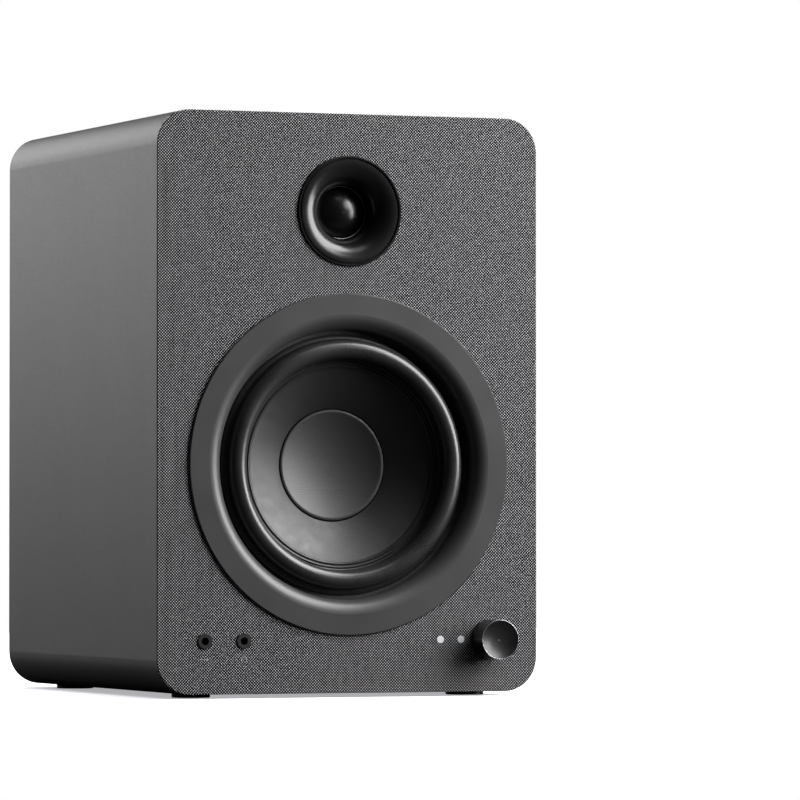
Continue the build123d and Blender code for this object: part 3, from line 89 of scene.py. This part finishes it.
class Shader:
    """A node material with one principled surface; constants sit on the surface's own sockets."""

    def __init__(self, name):
        self.material = bpy.data.materials.new(name)
        self.material.use_nodes = True
        self.tree = self.material.node_tree
        self.surface = self.tree.nodes["Principled BSDF"]
        self.place = self.tree.nodes.new("ShaderNodeTexCoord").outputs["Object"]

    def feed(self, socket, value):
        """Link a socket to another node's output, or leave a constant on it."""
        if isinstance(value, bpy.types.NodeSocket):
            self.tree.links.new(value, socket)
        else:
            socket.default_value = value

    def node(self, kind, inputs=None, **settings):
        made = self.tree.nodes.new(kind)
        for key, value in settings.items():
            setattr(made, key, value)
        for key, value in (inputs or {}).items():
            self.feed(made.inputs[key], value)
        return made

    def set(self, **sockets):
        for key, value in sockets.items():
            self.feed(self.surface.inputs[key.replace("_", " ")], value)

    def math(self, operation, first, second=0.0):
        return self.node("ShaderNodeMath", {0: first, 1: second}, operation=operation).outputs[0]

    def scaled(self, value, share):
        return self.math("MULTIPLY", value, share)

    def noise(self, scale, detail=4.0, roughness=0.55, stretch=None):
        place = self.place
        if stretch:
            place = self.node("ShaderNodeMapping", {"Vector": place, "Scale": stretch}).outputs[0]
        inputs = {"Vector": place, "Scale": scale, "Detail": detail, "Roughness": roughness}
        return self.node("ShaderNodeTexNoise", inputs).outputs["Fac"]

    def wave(self, axis, pitch):
        """Sine wave along one axis of the piece, from -1 to 1."""
        axes = self.node("ShaderNodeSeparateXYZ", {"Vector": self.place}).outputs
        return self.math("SINE", self.scaled(axes[axis], 2 * math.pi / pitch))

    def spread(self, value, start, end, from_low=0.3, from_high=0.7):
        """Stretch a value from its own span to the span from start to end."""
        inputs = {
            "Value": value,
            "From Min": from_low,
            "From Max": from_high,
            "To Min": start,
            "To Max": end,
        }
        return self.node("ShaderNodeMapRange", inputs).outputs[0]

    def mix(self, factor, first, second):
        """Colour mix. The mix node's colour sockets are its inputs 6 and 7 and its output 2."""
        return self.node("ShaderNodeMix", {0: factor, 6: first, 7: second}, data_type="RGBA").outputs[2]

    def tone(self, pattern, dark, light):
        """Base colour that goes from dark to light with a noise pattern."""
        self.set(Base_Color=self.mix(self.spread(pattern, 0.0, 1.0), dark, light))

    def bump(self, height, strength, distance):
        inputs = {"Height": height, "Strength": strength, "Distance": distance}
        self.set(Normal=self.node("ShaderNodeBump", inputs).outputs[0])


def grey(value):
    """A grey with a trace of blue."""
    return (value, value, value * 1.04, 1.0)


# ------------------------------------------------------------------ kinds of surface


def grained(
    name, dark, light, rough_low, rough_high, grain=2600.0, depth=0.00004, strength=0.25, **more
):
    """A moulded or painted surface: faint clouding of tone, patchy gloss and a fine grain."""
    shader = Shader(name)
    cloud = shader.noise(38.0, 5.0)
    fine = shader.noise(grain, 3.0)
    shader.tone(cloud, dark, light)
    gloss = shader.math("ADD", shader.scaled(cloud, 0.6), shader.scaled(fine, 0.4))
    shader.set(Roughness=shader.spread(gloss, rough_low, rough_high))
    shader.bump(fine, strength, depth)
    shader.set(**more)
    return shader.material


def smooth_gloss(name, tone, rough_low, rough_high, level):
    """Smooth moulded gloss: slow, faint changes of tone and polish, with no grain in the relief."""
    shader = Shader(name)
    slow = shader.noise(45.0, 3.0)
    shader.tone(slow, grey(tone), grey(tone * 1.6))
    shader.set(Roughness=shader.spread(slow, rough_low, rough_high), Specular_IOR_Level=level)
    shader.bump(slow, 0.03, 0.0001)
    return shader.material


def metal(
    name, dark, light, rough_low, rough_high, lines=0.0, stretch=(1.0, 1.0, 12.0), **more
):
    """Bare metal with fine drawn lines and patchy gloss."""
    shader = Shader(name)
    drawn = shader.noise(700.0, 3.0, stretch=stretch)
    patch = shader.noise(70.0, 5.0)
    shader.tone(patch, dark, light)
    gloss = shader.math("ADD", shader.scaled(drawn, 0.5), shader.scaled(patch, 0.5))
    shader.set(Roughness=shader.spread(gloss, rough_low, rough_high))
    shader.bump(drawn, 0.1 + lines, 0.00003)
    shader.set(**{"Metallic": 1.0, **more})
    return shader.material


def woven_face():
    """Plain weave of fine yarns: crowns in a checker, with painted shade that darkens the gaps between
    them to black.
    """
    shader = Shader("woven_face")
    pitch, gap_shade_sharpness = 0.001375, 6.0
    crossed = shader.math("MULTIPLY", shader.wave("X", pitch), shader.wave("Z", pitch))
    crowns = shader.math("ADD", shader.scaled(crossed, 0.5), 0.5)
    fibre = shader.noise(5200.0, 2.0)
    height = shader.math("ADD", crowns, shader.scaled(fibre, 0.03))
    uneven = shader.noise(60.0, 4.0)
    yarn = shader.mix(shader.spread(uneven, 0.0, 0.3), grey(0.92), grey(0.78))
    # Base colour follows the relief: yarn tone on the crowns, fading to black painted shade in the gaps
    # between them.
    shader.set(Base_Color=shader.mix(shader.math("POWER", crowns, gap_shade_sharpness), grey(0.0), yarn))
    shader.set(Roughness=shader.spread(height, 0.75, 0.5, 0.2, 1.0), Specular_IOR_Level=0.1)
    shader.bump(height, 0.7, 0.00018)
    return shader.material


def wrap():
    """Satin black wrap: a faint crossed grain over slow clouding, and less gloss on upward faces."""
    shader = Shader("wrap")
    across = shader.noise(900.0, 3.0, stretch=(1.0, 0.25, 1.6))
    along = shader.noise(900.0, 3.0, stretch=(1.0, 1.6, 0.25))
    grain = shader.math("MAXIMUM", across, along)
    shader.tone(shader.noise(14.0, 4.0), grey(0.034), grey(0.04))
    shader.set(Roughness=shader.spread(grain, 0.5, 0.58))
    shader.bump(grain, 0.1, 0.00004)
    facing = shader.node("ShaderNodeNewGeometry").outputs["Normal"]
    upward = shader.node("ShaderNodeSeparateXYZ", {"Vector": facing}).outputs["Z"]
    shader.set(Specular_IOR_Level=shader.spread(upward, 0.26, 0.06, 0.3, 0.95))
    return shader.material


def cone_pulp():
    """Coated paper pulp: short crossed fibres in the tone and in the relief."""
    shader = Shader("cone_pulp")
    fibre = shader.noise(1500.0, 5.0, 0.7)
    mottle = shader.noise(220.0, 4.0)
    shader.tone(fibre, grey(0.014), grey(0.028))
    shader.set(Roughness=shader.spread(mottle, 0.36, 0.5), Specular_IOR_Level=0.4)
    shader.bump(shader.math("ADD", fibre, shader.scaled(mottle, 0.6)), 0.3, 0.00012)
    return shader.material


def ribbed_pulp():
    """Dust cap: pulp with a faint set of level ribs pressed in."""
    shader = Shader("cap_pulp")
    rib_pitch = 0.0011
    fibre = shader.noise(1500.0, 5.0, 0.7)
    shader.tone(fibre, grey(0.026), grey(0.044))
    shader.set(Roughness=shader.spread(fibre, 0.4, 0.55))
    ribs = shader.scaled(shader.wave("Z", rib_pitch), 0.3)
    shader.bump(shader.math("ADD", ribs, fibre), 0.22, 0.0001)
    return shader.material


def fibreboard():
    """Pressed wood fibre: flecks of light and dark with an open, fuzzy surface."""
    shader = Shader("fibreboard")
    fleck = shader.noise(700.0, 6.0, 0.75)
    slow = shader.noise(30.0, 3.0)
    base = shader.mix(shader.spread(fleck, 0.0, 1.0), (0.2, 0.12, 0.06, 1), (0.5, 0.34, 0.2, 1))
    shader.set(Base_Color=shader.mix(shader.spread(slow, 0.0, 0.3), base, (0.3, 0.2, 0.11, 1)))
    shader.set(Roughness=shader.spread(fleck, 0.75, 0.95))
    shader.bump(fleck, 0.5, 0.0003)
    return shader.material


def felt():
    """Loose tufts, light and dark, with a soft sheen."""
    shader = Shader("felt")
    tuft = shader.noise(320.0, 8.0, 0.8)
    shader.tone(tuft, grey(0.12), grey(0.34))
    shader.set(Roughness=shader.spread(tuft, 0.9, 1.0), Sheen_Weight=0.4)
    shader.bump(tuft, 0.9, 0.0008)
    return shader.material


def circuit_board():
    """Green solder mask over a maze of tracks."""
    shader = Shader("circuit_board")
    cells = shader.node(
        "ShaderNodeTexVoronoi",
        {"Vector": shader.place, "Scale": 260.0},
        distance="CHEBYCHEV",
        feature="F1",
    ).outputs["Distance"]
    tracks = shader.math("GREATER_THAN", shader.math("FRACT", shader.scaled(cells, 3.0)), 0.55)
    green = shader.mix(tracks, (0.008, 0.07, 0.025, 1), (0.02, 0.16, 0.06, 1))
    shader.set(Base_Color=green, Roughness=shader.spread(shader.noise(90.0), 0.25, 0.4))
    shader.bump(tracks, 0.3, 0.00006)
    return shader.material


def spider_cloth():
    """Coarse cloth stiffened with resin."""
    shader = Shader("spider_cloth")
    pitch = 0.0009
    weave = shader.math("MULTIPLY", shader.wave("X", pitch), shader.wave("Z", pitch))
    raised = shader.spread(weave, 0.0, 1.0, -1, 1)
    shader.set(Base_Color=shader.mix(raised, (0.3, 0.18, 0.05, 1), (0.6, 0.42, 0.16, 1)))
    shader.set(Roughness=shader.spread(shader.noise(200.0), 0.6, 0.8))
    shader.bump(weave, 0.5, 0.0002)
    return shader.material


def frosted():
    """Frosted light pipe: milky body, slightly pitted face."""
    shader = Shader("frosted_clear")
    pit = shader.noise(3500.0, 2.0)
    shader.tone(pit, (0.62, 0.64, 0.66, 1), (0.8, 0.82, 0.84, 1))
    shader.set(Roughness=shader.spread(pit, 0.3, 0.5), Subsurface_Weight=0.1, Subsurface_Scale=0.0006)
    shader.bump(pit, 0.3, 0.00004)
    return shader.material


# ------------------------------------------------------------------ materials of the nodes

# One material for each material slot of the record, then those that single nodes or pieces have.
materials = {
    "wrap": wrap(),
    "woven_face": woven_face(),
    "board": fibreboard(),
    "felt": felt(),
    "rubber": grained(
        "surround_rubber", grey(0.016), grey(0.016 * 1.5), 0.24, 0.36, 1800.0, 0.00003, 0.2
    ),
    "black_plastic": grained("satin_plastic", grey(0.028), grey(0.036), 0.34, 0.46),
    "gloss_plastic": smooth_gloss("gloss_plastic", 0.004, 0.22, 0.27, 0.42),
    "red_plastic": grained("red_plastic", (0.42, 0.01, 0.008, 1), (0.55, 0.02, 0.012, 1), 0.3, 0.42),
    "cast_metal": grained(
        "cast_metal", grey(0.03), grey(0.05), 0.4, 0.6, 1200.0, 0.0001, 0.4, Metallic=0.6
    ),
    "paper": cone_pulp(),
    "cloth": spider_cloth(),
    "film": smooth_gloss("doped_silk", 0.003, 0.24, 0.3, 0.42),
    "steel": metal("zinc_steel", (0.5, 0.5, 0.52, 1), (0.66, 0.67, 0.7, 1), 0.22, 0.4),
    "black_steel": grained(
        "painted_steel", grey(0.02), grey(0.03), 0.42, 0.6, 2200.0, 0.00009, 0.6
    ),
    "aluminium": metal("aluminium", (0.62, 0.63, 0.65, 1), (0.74, 0.75, 0.77, 1), 0.24, 0.36, 0.1),
    "ferrite": grained("ferrite", grey(0.03), grey(0.06), 0.5, 0.75, 1600.0, 0.0001, 0.5),
    "neodymium": metal("nickel", (0.5, 0.49, 0.47, 1), (0.62, 0.61, 0.58, 1), 0.12, 0.25),
    "copper": metal("copper_wire", (0.5, 0.18, 0.07, 1), (0.75, 0.34, 0.16, 1), 0.25, 0.4, 0.5),
    "brass": metal("brass", (0.62, 0.46, 0.2, 1), (0.76, 0.6, 0.3, 1), 0.2, 0.34),
    "chrome": metal("bright_plate", (0.7, 0.7, 0.71, 1), (0.8, 0.8, 0.82, 1), 0.08, 0.18),
    "board_laminate": circuit_board(),
    "clear": frosted(),
    "white_plastic": grained("white_plastic", grey(0.62), grey(0.72), 0.3, 0.42),
    "wire_cover": grained("wire_cover", (0.25, 0.015, 0.01, 1), (0.4, 0.03, 0.02, 1), 0.35, 0.5),
    "cap": ribbed_pulp(),
    "ring": grained("ring_plastic", grey(0.034), grey(0.04), 0.36, 0.44, 3200.0, 0.00003, 0.2),
    "knob": metal(
        "knob_black",
        grey(0.016),
        grey(0.026),
        0.26,
        0.34,
        lines=0.15,
        stretch=(6.0, 1.0, 6.0),
        Specular_IOR_Level=0.6,
        Metallic=0.55,
    ),
    "print": grained("pale_print", grey(0.22), grey(0.3), 0.5, 0.65),
    "bright_edge": metal("bright_edge", grey(0.5), grey(0.58), 0.3, 0.38),
    "glue": grained("glue_bead", grey(0.001), grey(0.003), 0.8, 0.95, Specular_IOR_Level=0.1),
    "jack_metal": grained("jack_rim", grey(0.02), grey(0.035), 0.25, 0.35, 2200.0, 0.00003, 0.3),
}

own_material = {
    "woofer_dust_cap": "cap",
    "woofer_trim_ring": "ring",
    "volume_knob": "knob",
    "jack_bezels": "jack_metal",
    "aux_jack": "jack_metal",
    "headphone_jack": "jack_metal",
}

slot_of = {part["node"]: part["material_slot"] for part in frame["record"]["subparts"]}
for name, cad_object in nodes.items():
    material = materials[own_material.get(name, slot_of[name])]
    cad_object.data.materials.clear()
    cad_object.data.materials.append(material)

# Join the cap's sliver triangles at its middle, which otherwise shade as a small dot.
join = nodes["woofer_dust_cap"].modifiers.new("join_slivers", "WELD")
join.merge_threshold = 0.00015

# ------------------------------------------------------------------ building of pieces


def add_mesh(name, points, faces, material, smooth=True):
    mesh = bpy.data.meshes.new(name)
    mesh.from_pydata(points, [], faces)
    mesh.update()
    if smooth:
        for polygon in mesh.polygons:
            polygon.use_smooth = True
    mesh.materials.append(materials[material])
    piece = bpy.data.objects.new(name, mesh)
    bpy.context.scene.collection.objects.link(piece)
    return piece


def turned(profile, centre, start, end, steps):
    """Points and faces of a closed profile of (radius, y) turned about the Y axis through centre."""
    points, faces = [], []
    full = abs(end - start - 2 * math.pi) < 1e-6
    rows = steps if full else steps + 1
    for row in range(rows):
        angle = start + (end - start) * row / steps
        for radius, y in profile:
            points.append((centre.x + radius * math.cos(angle), y, centre.z + radius * math.sin(angle)))
    size = len(profile)
    for row in range(steps):
        here, there = row * size, (row + 1) % rows * size
        for index in range(size):
            after = (index + 1) % size
            faces.append((here + index, here + after, there + after, there + index))
    return points, faces


def arc_points(centre_a, centre_b, radius, start, end, steps):
    """Points of an arc in any plane, from a start angle to an end angle in degrees."""
    angles = [math.radians(start + (end - start) * k / steps) for k in range(steps + 1)]
    return [(centre_a + radius * math.cos(a), centre_b + radius * math.sin(a)) for a in angles]


def torus(name, centre, radius, y, thickness, material, body):
    """A thin round ring about the Y axis; thickness is the radius of its round section."""
    around, round_points = 160, 10
    section = arc_points(radius, y, thickness, 0, 360, round_points)[:-1]
    points, faces = turned(section, centre, 0.0, 2 * math.pi, around)
    piece = add_mesh(name, points, faces, material)
    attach(piece, body)


# ------------------------------------------------------------------ rings of sectors


def ring_normals(piece, centre, size):
    """Vertex normals made equal all round the ring, so that neighbouring sectors meet unseen."""
    mesh = piece.data

    def outward(vertex):
        return Vector((vertex.co.x - centre.x, 0.0, vertex.co.z - centre.z)).normalized()

    middle_row = len(mesh.vertices) // size // 2
    kept = []
    for index in range(size):
        vertex = mesh.vertices[middle_row * size + index]
        kept.append((vertex.normal.dot(outward(vertex)), vertex.normal.y))
    normals = []
    for vertex in mesh.vertices:
        along, deep = kept[vertex.index % size]
        normals.append((outward(vertex) * along + Vector((0.0, deep, 0.0))).normalized())
    return normals


def flexing_ring(name, node, profile, material, sectors, steps):
    """A ring of equal sectors, turned from one profile, which stands in for the node.

    The sectors hold to the cabinet at the first of the two radii, and follow the moving body at
    The steps are the facets in one sector.
    """
    centre = middle(node)
    for sector in range(sectors):
        start = 2 * math.pi * sector / sectors
        end = 2 * math.pi * (sector + 1) / sectors
        points, faces = turned(profile, centre, start, end, steps)
        piece = add_mesh(f"{name}_{sector + 1}", points, faces, material)
        normals = ring_normals(piece, centre, len(profile))
        piece.data.normals_split_custom_set_from_vertices(normals)
        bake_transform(piece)
        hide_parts(node)


def surround_profile():
    """The rubber surround's closed section as (radius, y), with two stitched beads by the cone."""
    outer_edge = half_width("woofer_surround")
    back = high("woofer_surround").y
    crest = low("woofer_surround").y
    seat = face_y + 0.009
    roll_out, roll_in, inner_edge, skin = 0.0584, 0.0494, 0.0455, 0.0011
    flange, edge_round, inner_leg = 0.0008, 0.0006, 0.0008
    land, bead = 0.0009, 0.00045
    roll = (roll_out - roll_in) / 2
    centre_r = (roll_out + roll_in) / 2
    centre_y = crest + roll
    front = back - land
    outer = [(outer_edge, seat), (outer_edge, seat - flange)]
    outer += arc_points(roll_out + edge_round, seat - flange - edge_round, edge_round, 90, 180, 4)
    over = arc_points(centre_r, centre_y, roll, 0, -180, 40)
    inner = [(roll_in, front - inner_leg)]
    for bead_r in (0.0480, 0.0464):
        inner += arc_points(bead_r, front, bead, 0, -180, 8)
    inner += [(inner_edge, front), (inner_edge, back)]
    under = [(roll_in + skin, back)]
    under += arc_points(centre_r, centre_y, roll - skin, -180, 0, 32)
    under += [(roll_out - skin, seat)]
    return outer + over + inner + under


def spider_profile():
    """The corrugated spider's closed section as (radius, y)."""
    outer_edge = half_width("woofer_spider")
    inner_edge = 0.01305
    plane = middle("woofer_spider").y
    flat_in, flat_out, waves, height, cloth = 0.015, 0.0374, 5, 0.0012, 0.0006
    steps = 80
    line = [(inner_edge, plane)]
    for step in range(steps + 1):
        radius = flat_in + (flat_out - flat_in) * step / steps
        line.append((radius, plane - height * math.sin(2 * math.pi * waves * step / steps)))
    line.append((outer_edge, plane))
    front = [(radius, y - cloth / 2) for radius, y in line]
    back = [(radius, y + cloth / 2) for radius, y in reversed(line)]
    return front + back


def tweeter_film_profile():
    """The tweeter surround's film as (radius, y): inner lip, shallow half roll, clamped flange."""
    inner_edge, outer_edge = 0.01231, half_width("tweeter_surround")
    front = low("tweeter_surround").y
    film, sag, start, width, steps = 0.0003, 0.0006, 0.0125, 0.0022, 12
    line = [(inner_edge, front)]
    for step in range(steps + 1):
        share = step / steps
        line.append((start + width * share, front + sag * math.sin(math.pi * share)))
    line.append((outer_edge, front))
    return line + [(radius, y + film) for radius, y in reversed(line)]


flexing_ring(
    "surround_rubber",
    "woofer_surround",
    surround_profile(),
    "rubber",
    sectors=40,
    steps=5,
)
flexing_ring(
    "spider_cloth",
    "woofer_spider",
    spider_profile(),
    "cloth",
    sectors=20,
    steps=8,
)
flexing_ring(
    "tweeter_film",
    "tweeter_surround",
    tweeter_film_profile(),
    "film",
    sectors=12,
    steps=10,
)

# ------------------------------------------------------------------ thin rings

# Dark bead of glue round the dust cap.
torus(
    "cap_glue_bead",
    woofer,
    radius=half_width("woofer_dust_cap"),
    y=low("woofer_dust_cap").y + 0.0003,
    thickness=0.00035,
    material="glue",
    body=cone_body,
)

# Bright edge of the tweeter's throat, just inside the horn's smallest opening.
throat_radius, throat_depth = 0.0124, 0.0114
torus(
    "throat_ring",
    tweeter,
    radius=throat_radius - 0.00012,
    y=face_y + throat_depth + 0.0001,
    thickness=0.00013,
    material="bright_edge",
    body="cabinet",
)

# Bright edge round the knob's dished face.
torus(
    "knob_rim",
    knob,
    radius=half_width("volume_knob") - 0.00028,
    y=low("volume_knob").y + 0.00012,
    thickness=0.00016,
    material="bright_edge",
    body="volume_control",
)

# ------------------------------------------------------------------ printed marks

mark_z = middle("aux_jack").z - 0.0085
line_width = 0.00028


def flat_mark(name, outlines):
    """Thin raised print on the face, made of closed outlines of (x, z) points."""
    print_lift = 0.00006
    points, faces = [], []
    for outline in outlines:
        size = len(outline)
        base = len(points)
        points += [(x, face_y, z) for x, z in outline]
        points += [(x, face_y - print_lift, z) for x, z in outline]
        faces.append(tuple(base + size + k for k in range(size)))
        faces.append(tuple(base + size - 1 - k for k in range(size)))
        for k in range(size):
            after = (k + 1) % size
            faces.append((base + k, base + after, base + size + after, base + size + k))
    piece = add_mesh(name, points, faces, "print", smooth=False)
    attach(piece, "cabinet")


def stroke(points, width):
    """Closed outline of a band of the given width along a polyline."""
    left, right = [], []
    for index, point in enumerate(points):
        before = points[max(index - 1, 0)]
        after = points[min(index + 1, len(points) - 1)]
        run = Vector((after[0] - before[0], after[1] - before[1]))
        run.normalize()
        side = Vector((-run.y, run.x)) * width / 2
        left.append((point[0] + side.x, point[1] + side.y))
        right.append((point[0] - side.x, point[1] - side.y))
    return left + right[::-1]


def hanging_block(x, half, height):
    """Closed outline of a block that hangs down from the marks' level."""
    return [
        (x - half, mark_z - height),
        (x + half, mark_z - height),
        (x + half, mark_z),
        (x - half, mark_z),
    ]


def headphone_mark():
    """A band over two ear cups."""
    x = middle("headphone_jack").x
    band_radius, cup_half, cup_height = 0.0012, 0.0003, 0.0011
    headband = arc_points(x, mark_z, band_radius, 0, 180, 20)
    cups = [hanging_block(x + side * band_radius, cup_half, cup_height) for side in (-1, 1)]
    flat_mark("headphone_mark", [stroke(headband, line_width)] + cups)


def line_in_mark():
    """A plain arrow."""
    x = middle("aux_jack").x
    tail, head_base, tip, head_half, overlap = 0.0022, 0.0006, 0.0019, 0.0007, 0.0002
    shaft = stroke([(x - tail, mark_z), (x + head_base + overlap, mark_z)], line_width)
    head = [(x + head_base, mark_z - head_half), (x + tip, mark_z), (x + head_base, mark_z + head_half)]
    flat_mark("line_in_mark", [shaft, head])


def status_mark():
    """A small sun under the status lights."""
    x = middle("led_light_pipes").x
    core, ray_start, ray_end, rays = 0.0004, 0.0007, 0.0013, 8
    outlines = []
    for ray in range(rays):
        across, up = math.cos(2 * math.pi * ray / rays), math.sin(2 * math.pi * ray / rays)
        ends = [(x + reach * across, mark_z + reach * up) for reach in (ray_start, ray_end)]
        outlines.append(stroke(ends, line_width * 0.8))
    outlines.append(arc_points(x, mark_z, core, 0, 342, 19))
    flat_mark("status_mark", outlines)


def volume_marks():
    """A minus on the quiet side of the knob and a plus on the loud side."""
    quiet_x, loud_x, arm = knob.x - 0.0115, knob.x + 0.0112, 0.001
    z = mark_z + 0.0005
    bars = [[(x - arm, z), (x + arm, z)] for x in (quiet_x, loud_x)]
    bars.append([(loud_x, z - arm), (loud_x, z + arm)])
    flat_mark("volume_marks", [stroke(bar, line_width) for bar in bars])


headphone_mark()
line_in_mark()
status_mark()
volume_marks()

# ------------------------------------------------------------------ felt


def frame_point(share, wide, tall, corner):
    """The point (x, z) at a share of the way round an upright frame with rounded corners."""
    straight_x, straight_z = 2 * (wide - corner), 2 * (tall - corner)
    quarter = math.pi * corner / 2
    left = share * (2 * (straight_x + straight_z) + 4 * quarter)
    turn_x, turn_z = wide - corner, tall - corner
    # Each leg: where it starts, which way it runs, its length, the centre and first angle of the
    # rounded corner after it.
    legs = [
        ((wide, -turn_z), (0, 1), straight_z, (turn_x, turn_z), 0),
        ((turn_x, tall), (-1, 0), straight_x, (-turn_x, turn_z), 90),
        ((-wide, turn_z), (0, -1), straight_z, (-turn_x, -turn_z), 180),
        ((-turn_x, -tall), (1, 0), straight_x, (turn_x, -turn_z), 270),
    ]
    for (x, z), (run_x, run_z), length, (centre_x, centre_z), angle in legs:
        if left <= length:
            return x + run_x * left, z + run_z * left
        left -= length
        if left <= quarter:
            bend = math.radians(angle) + left / corner
            return centre_x + corner * math.cos(bend), centre_z + corner * math.sin(bend)
        left -= quarter
    return wide, -turn_z


def lump(a, b):
    """Uneven swelling from 0 to 1, made of two crossed ripples."""
    slow = math.sin(a * 61.0 + 3 * math.sin(b * 9.0))
    fine = math.sin(b * 47.0 + a * 23.0)
    return 0.5 + 0.25 * slow + 0.25 * fine


def felt_frame():
    """Tufted felt lining: a lumpy skin over the lining's frame, kept inside its box."""
    lowest, highest = low("damping_lining"), high("damping_lining")
    centre = (lowest + highest) / 2
    half_x, half_z = (highest.x - lowest.x) / 2, (highest.z - lowest.z) / 2
    outer_inset, inner_inset, end_gap, tuft_height = 0.0005, 0.0079, 0.0006, 0.0011
    corner = 0.006
    rows, around = 36, 260
    # The closed section: inset from the box, share of the depth, and which way its tufts go.
    section = [(outer_inset, row / rows, 1) for row in range(rows + 1)]
    section += [(inner_inset, 1 - row / rows, -1) for row in range(rows + 1)]
    points, faces = [], []
    for step in range(around):
        share = step / around
        for inset, deep, inward in section:
            tufted = inset + inward * tuft_height * lump(share * 12, deep * 3)
            x, z = frame_point(share, half_x - tufted, half_z - tufted, corner)
            y = lowest.y + end_gap + (highest.y - lowest.y - 2 * end_gap) * deep
            points.append((centre.x + x, y, centre.z + z))
    size = len(section)
    for step in range(around):
        here, there = step * size, (step + 1) % around * size
        for index in range(size):
            after = (index + 1) % size
            faces.append((here + index, there + index, there + after, here + after))
    piece = add_mesh("felt_lining", points, faces, "felt")
    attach(piece, "cabinet")
    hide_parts("damping_lining")


felt_frame()

# ------------------------------------------------------------------ phono sockets' inner contacts


def phono_contacts():
    """A brass sleeve in the middle of each phono shell."""
    plate_y = high("amp_plate").y
    bore, outside, reach, root, shell_radius = 0.0013, 0.0016, 0.0062, 0.002, 0.00415
    shells = middle("rca_shells")
    offset = half_width("rca_shells") - shell_radius
    tip_y, root_y = plate_y + reach, plate_y - root
    sleeve = [(bore, tip_y), (outside, tip_y), (outside, root_y), (bore, root_y)]
    for side_name, side in (("left", -1), ("right", 1)):
        centre = Vector((shells.x + side * offset, 0, shells.z))
        points, faces = turned(sleeve, centre, 0.0, 2 * math.pi, 40)
        contact = add_mesh(f"phono_contact_{side_name}", points, faces, "brass")
        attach(contact, "cabinet")


phono_contacts()

# ------------------------------------------------------------------ floor

# The camera sees a pale floor. To all other light the floor is dark, so that its bounce doesn't
# wash out the dark cone, horn and face.
floor_width, floor_depth = 2.4, 2.0
floor_middle_y = 0.5
floor_glow = 0.42
bpy.ops.mesh.primitive_plane_add(size=1.0, location=(0, floor_middle_y, 0))
floor = bpy.context.object
floor.name = "floor"
floor.scale = (floor_width, floor_depth, 1.0)
floor_shader = Shader("pale_floor")
floor_tone = floor_shader.mix(floor_shader.noise(6.0, 3.0), grey(0.88), grey(0.92))
in_sight = floor_shader.node("ShaderNodeLightPath").outputs["Is Camera Ray"]
floor_shader.set(Base_Color=floor_shader.mix(in_sight, grey(0.03), floor_tone), Roughness=0.9)
floor_shader.set(Emission_Color=grey(1.0), Specular_IOR_Level=0.0)
floor_shader.set(Emission_Strength=floor_shader.scaled(in_sight, floor_glow))
floor.data.materials.append(floor_shader.material)

# ------------------------------------------------------------------ camera

# Left of the speaker, low, and tilted up a little, as in the photo.
camera_data = bpy.data.cameras.new("camera")
camera_data.lens = 254.7
camera_data.sensor_width = 36.0
camera_data.clip_end = 50.0
camera = bpy.data.objects.new("camera", camera_data)
bpy.context.scene.collection.objects.link(camera)
camera_x, camera_distance, camera_height = -0.9728, 2.4509, 0.0768
camera.location = (camera_x, face_y - camera_distance, face_low_z + camera_height)
looking = Vector((0.3772, 0.9261, 0.02262))
camera.rotation_euler = looking.to_track_quat("-Z", "Y").to_euler()
bpy.context.scene.camera = camera

# ------------------------------------------------------------------ light


def softbox(name, place, target, size, watts):
    data = bpy.data.lights.new(name, "AREA")
    data.shape = "RECTANGLE"
    data.size, data.size_y = size
    data.energy = watts
    lamp = bpy.data.objects.new(name, data)
    bpy.context.scene.collection.objects.link(lamp)
    lamp.location = place
    aim = Vector(target) - Vector(place)
    lamp.rotation_euler = aim.to_track_quat("-Z", "Y").to_euler()
    lamp.visible_camera = False


# Each lamp: its place, what it aims at, its width and height, and its power.
front_heart, back_heart = (0.0, face_y, 0.14), (0.0, 0.1, 0.14)
lamps = {
    "key_right": ((0.8, face_y - 0.4, 0.68), (0.0, face_y, 0.35), (0.6, 1.3), 34.0),
    "top_front": ((0.35, face_y - 0.65, 1.3), front_heart, (0.7, 0.5), 2.5),
    "front_right": ((0.95, face_y - 1.1, 0.85), front_heart, (0.5, 0.5), 7.0),
    "top_panel": ((0.0, 1.0, 2.2), (0.0, 1.0, 0.0), (3.2, 2.3), 75.0),
    "side_left": ((-1.3, 1.9, 0.95), (-0.095, 0.0, 0.2), (1.6, 1.4), 16.0),
    "rear_fill": ((-0.5, 2.4, 0.8), back_heart, (1.4, 1.0), 30.0),
    "rear_right": ((1.9, 1.3, 0.9), back_heart, (1.2, 1.0), 24.0),
}
for lamp_name, (place, target, size, watts) in lamps.items():
    softbox(lamp_name, place, target, size, watts)

# The room is dim to the speaker, and plain white where the camera looks past the floor.
dim_room, white_room = 0.015, 1.0
world = bpy.data.worlds.new("studio")
bpy.context.scene.world = world
world.use_nodes = True
room = world.node_tree.nodes["Background"]
room.inputs["Color"].default_value = (1.0, 1.0, 1.0, 1.0)
seen = world.node_tree.nodes.new("ShaderNodeLightPath").outputs["Is Camera Ray"]
room_light = world.node_tree.nodes.new("ShaderNodeMapRange")
world.node_tree.links.new(seen, room_light.inputs["Value"])
room_light.inputs["To Min"].default_value = dim_room
room_light.inputs["To Max"].default_value = white_room
world.node_tree.links.new(room_light.outputs[0], room.inputs["Strength"])
bpy.context.scene.view_settings.view_transform = "Standard"
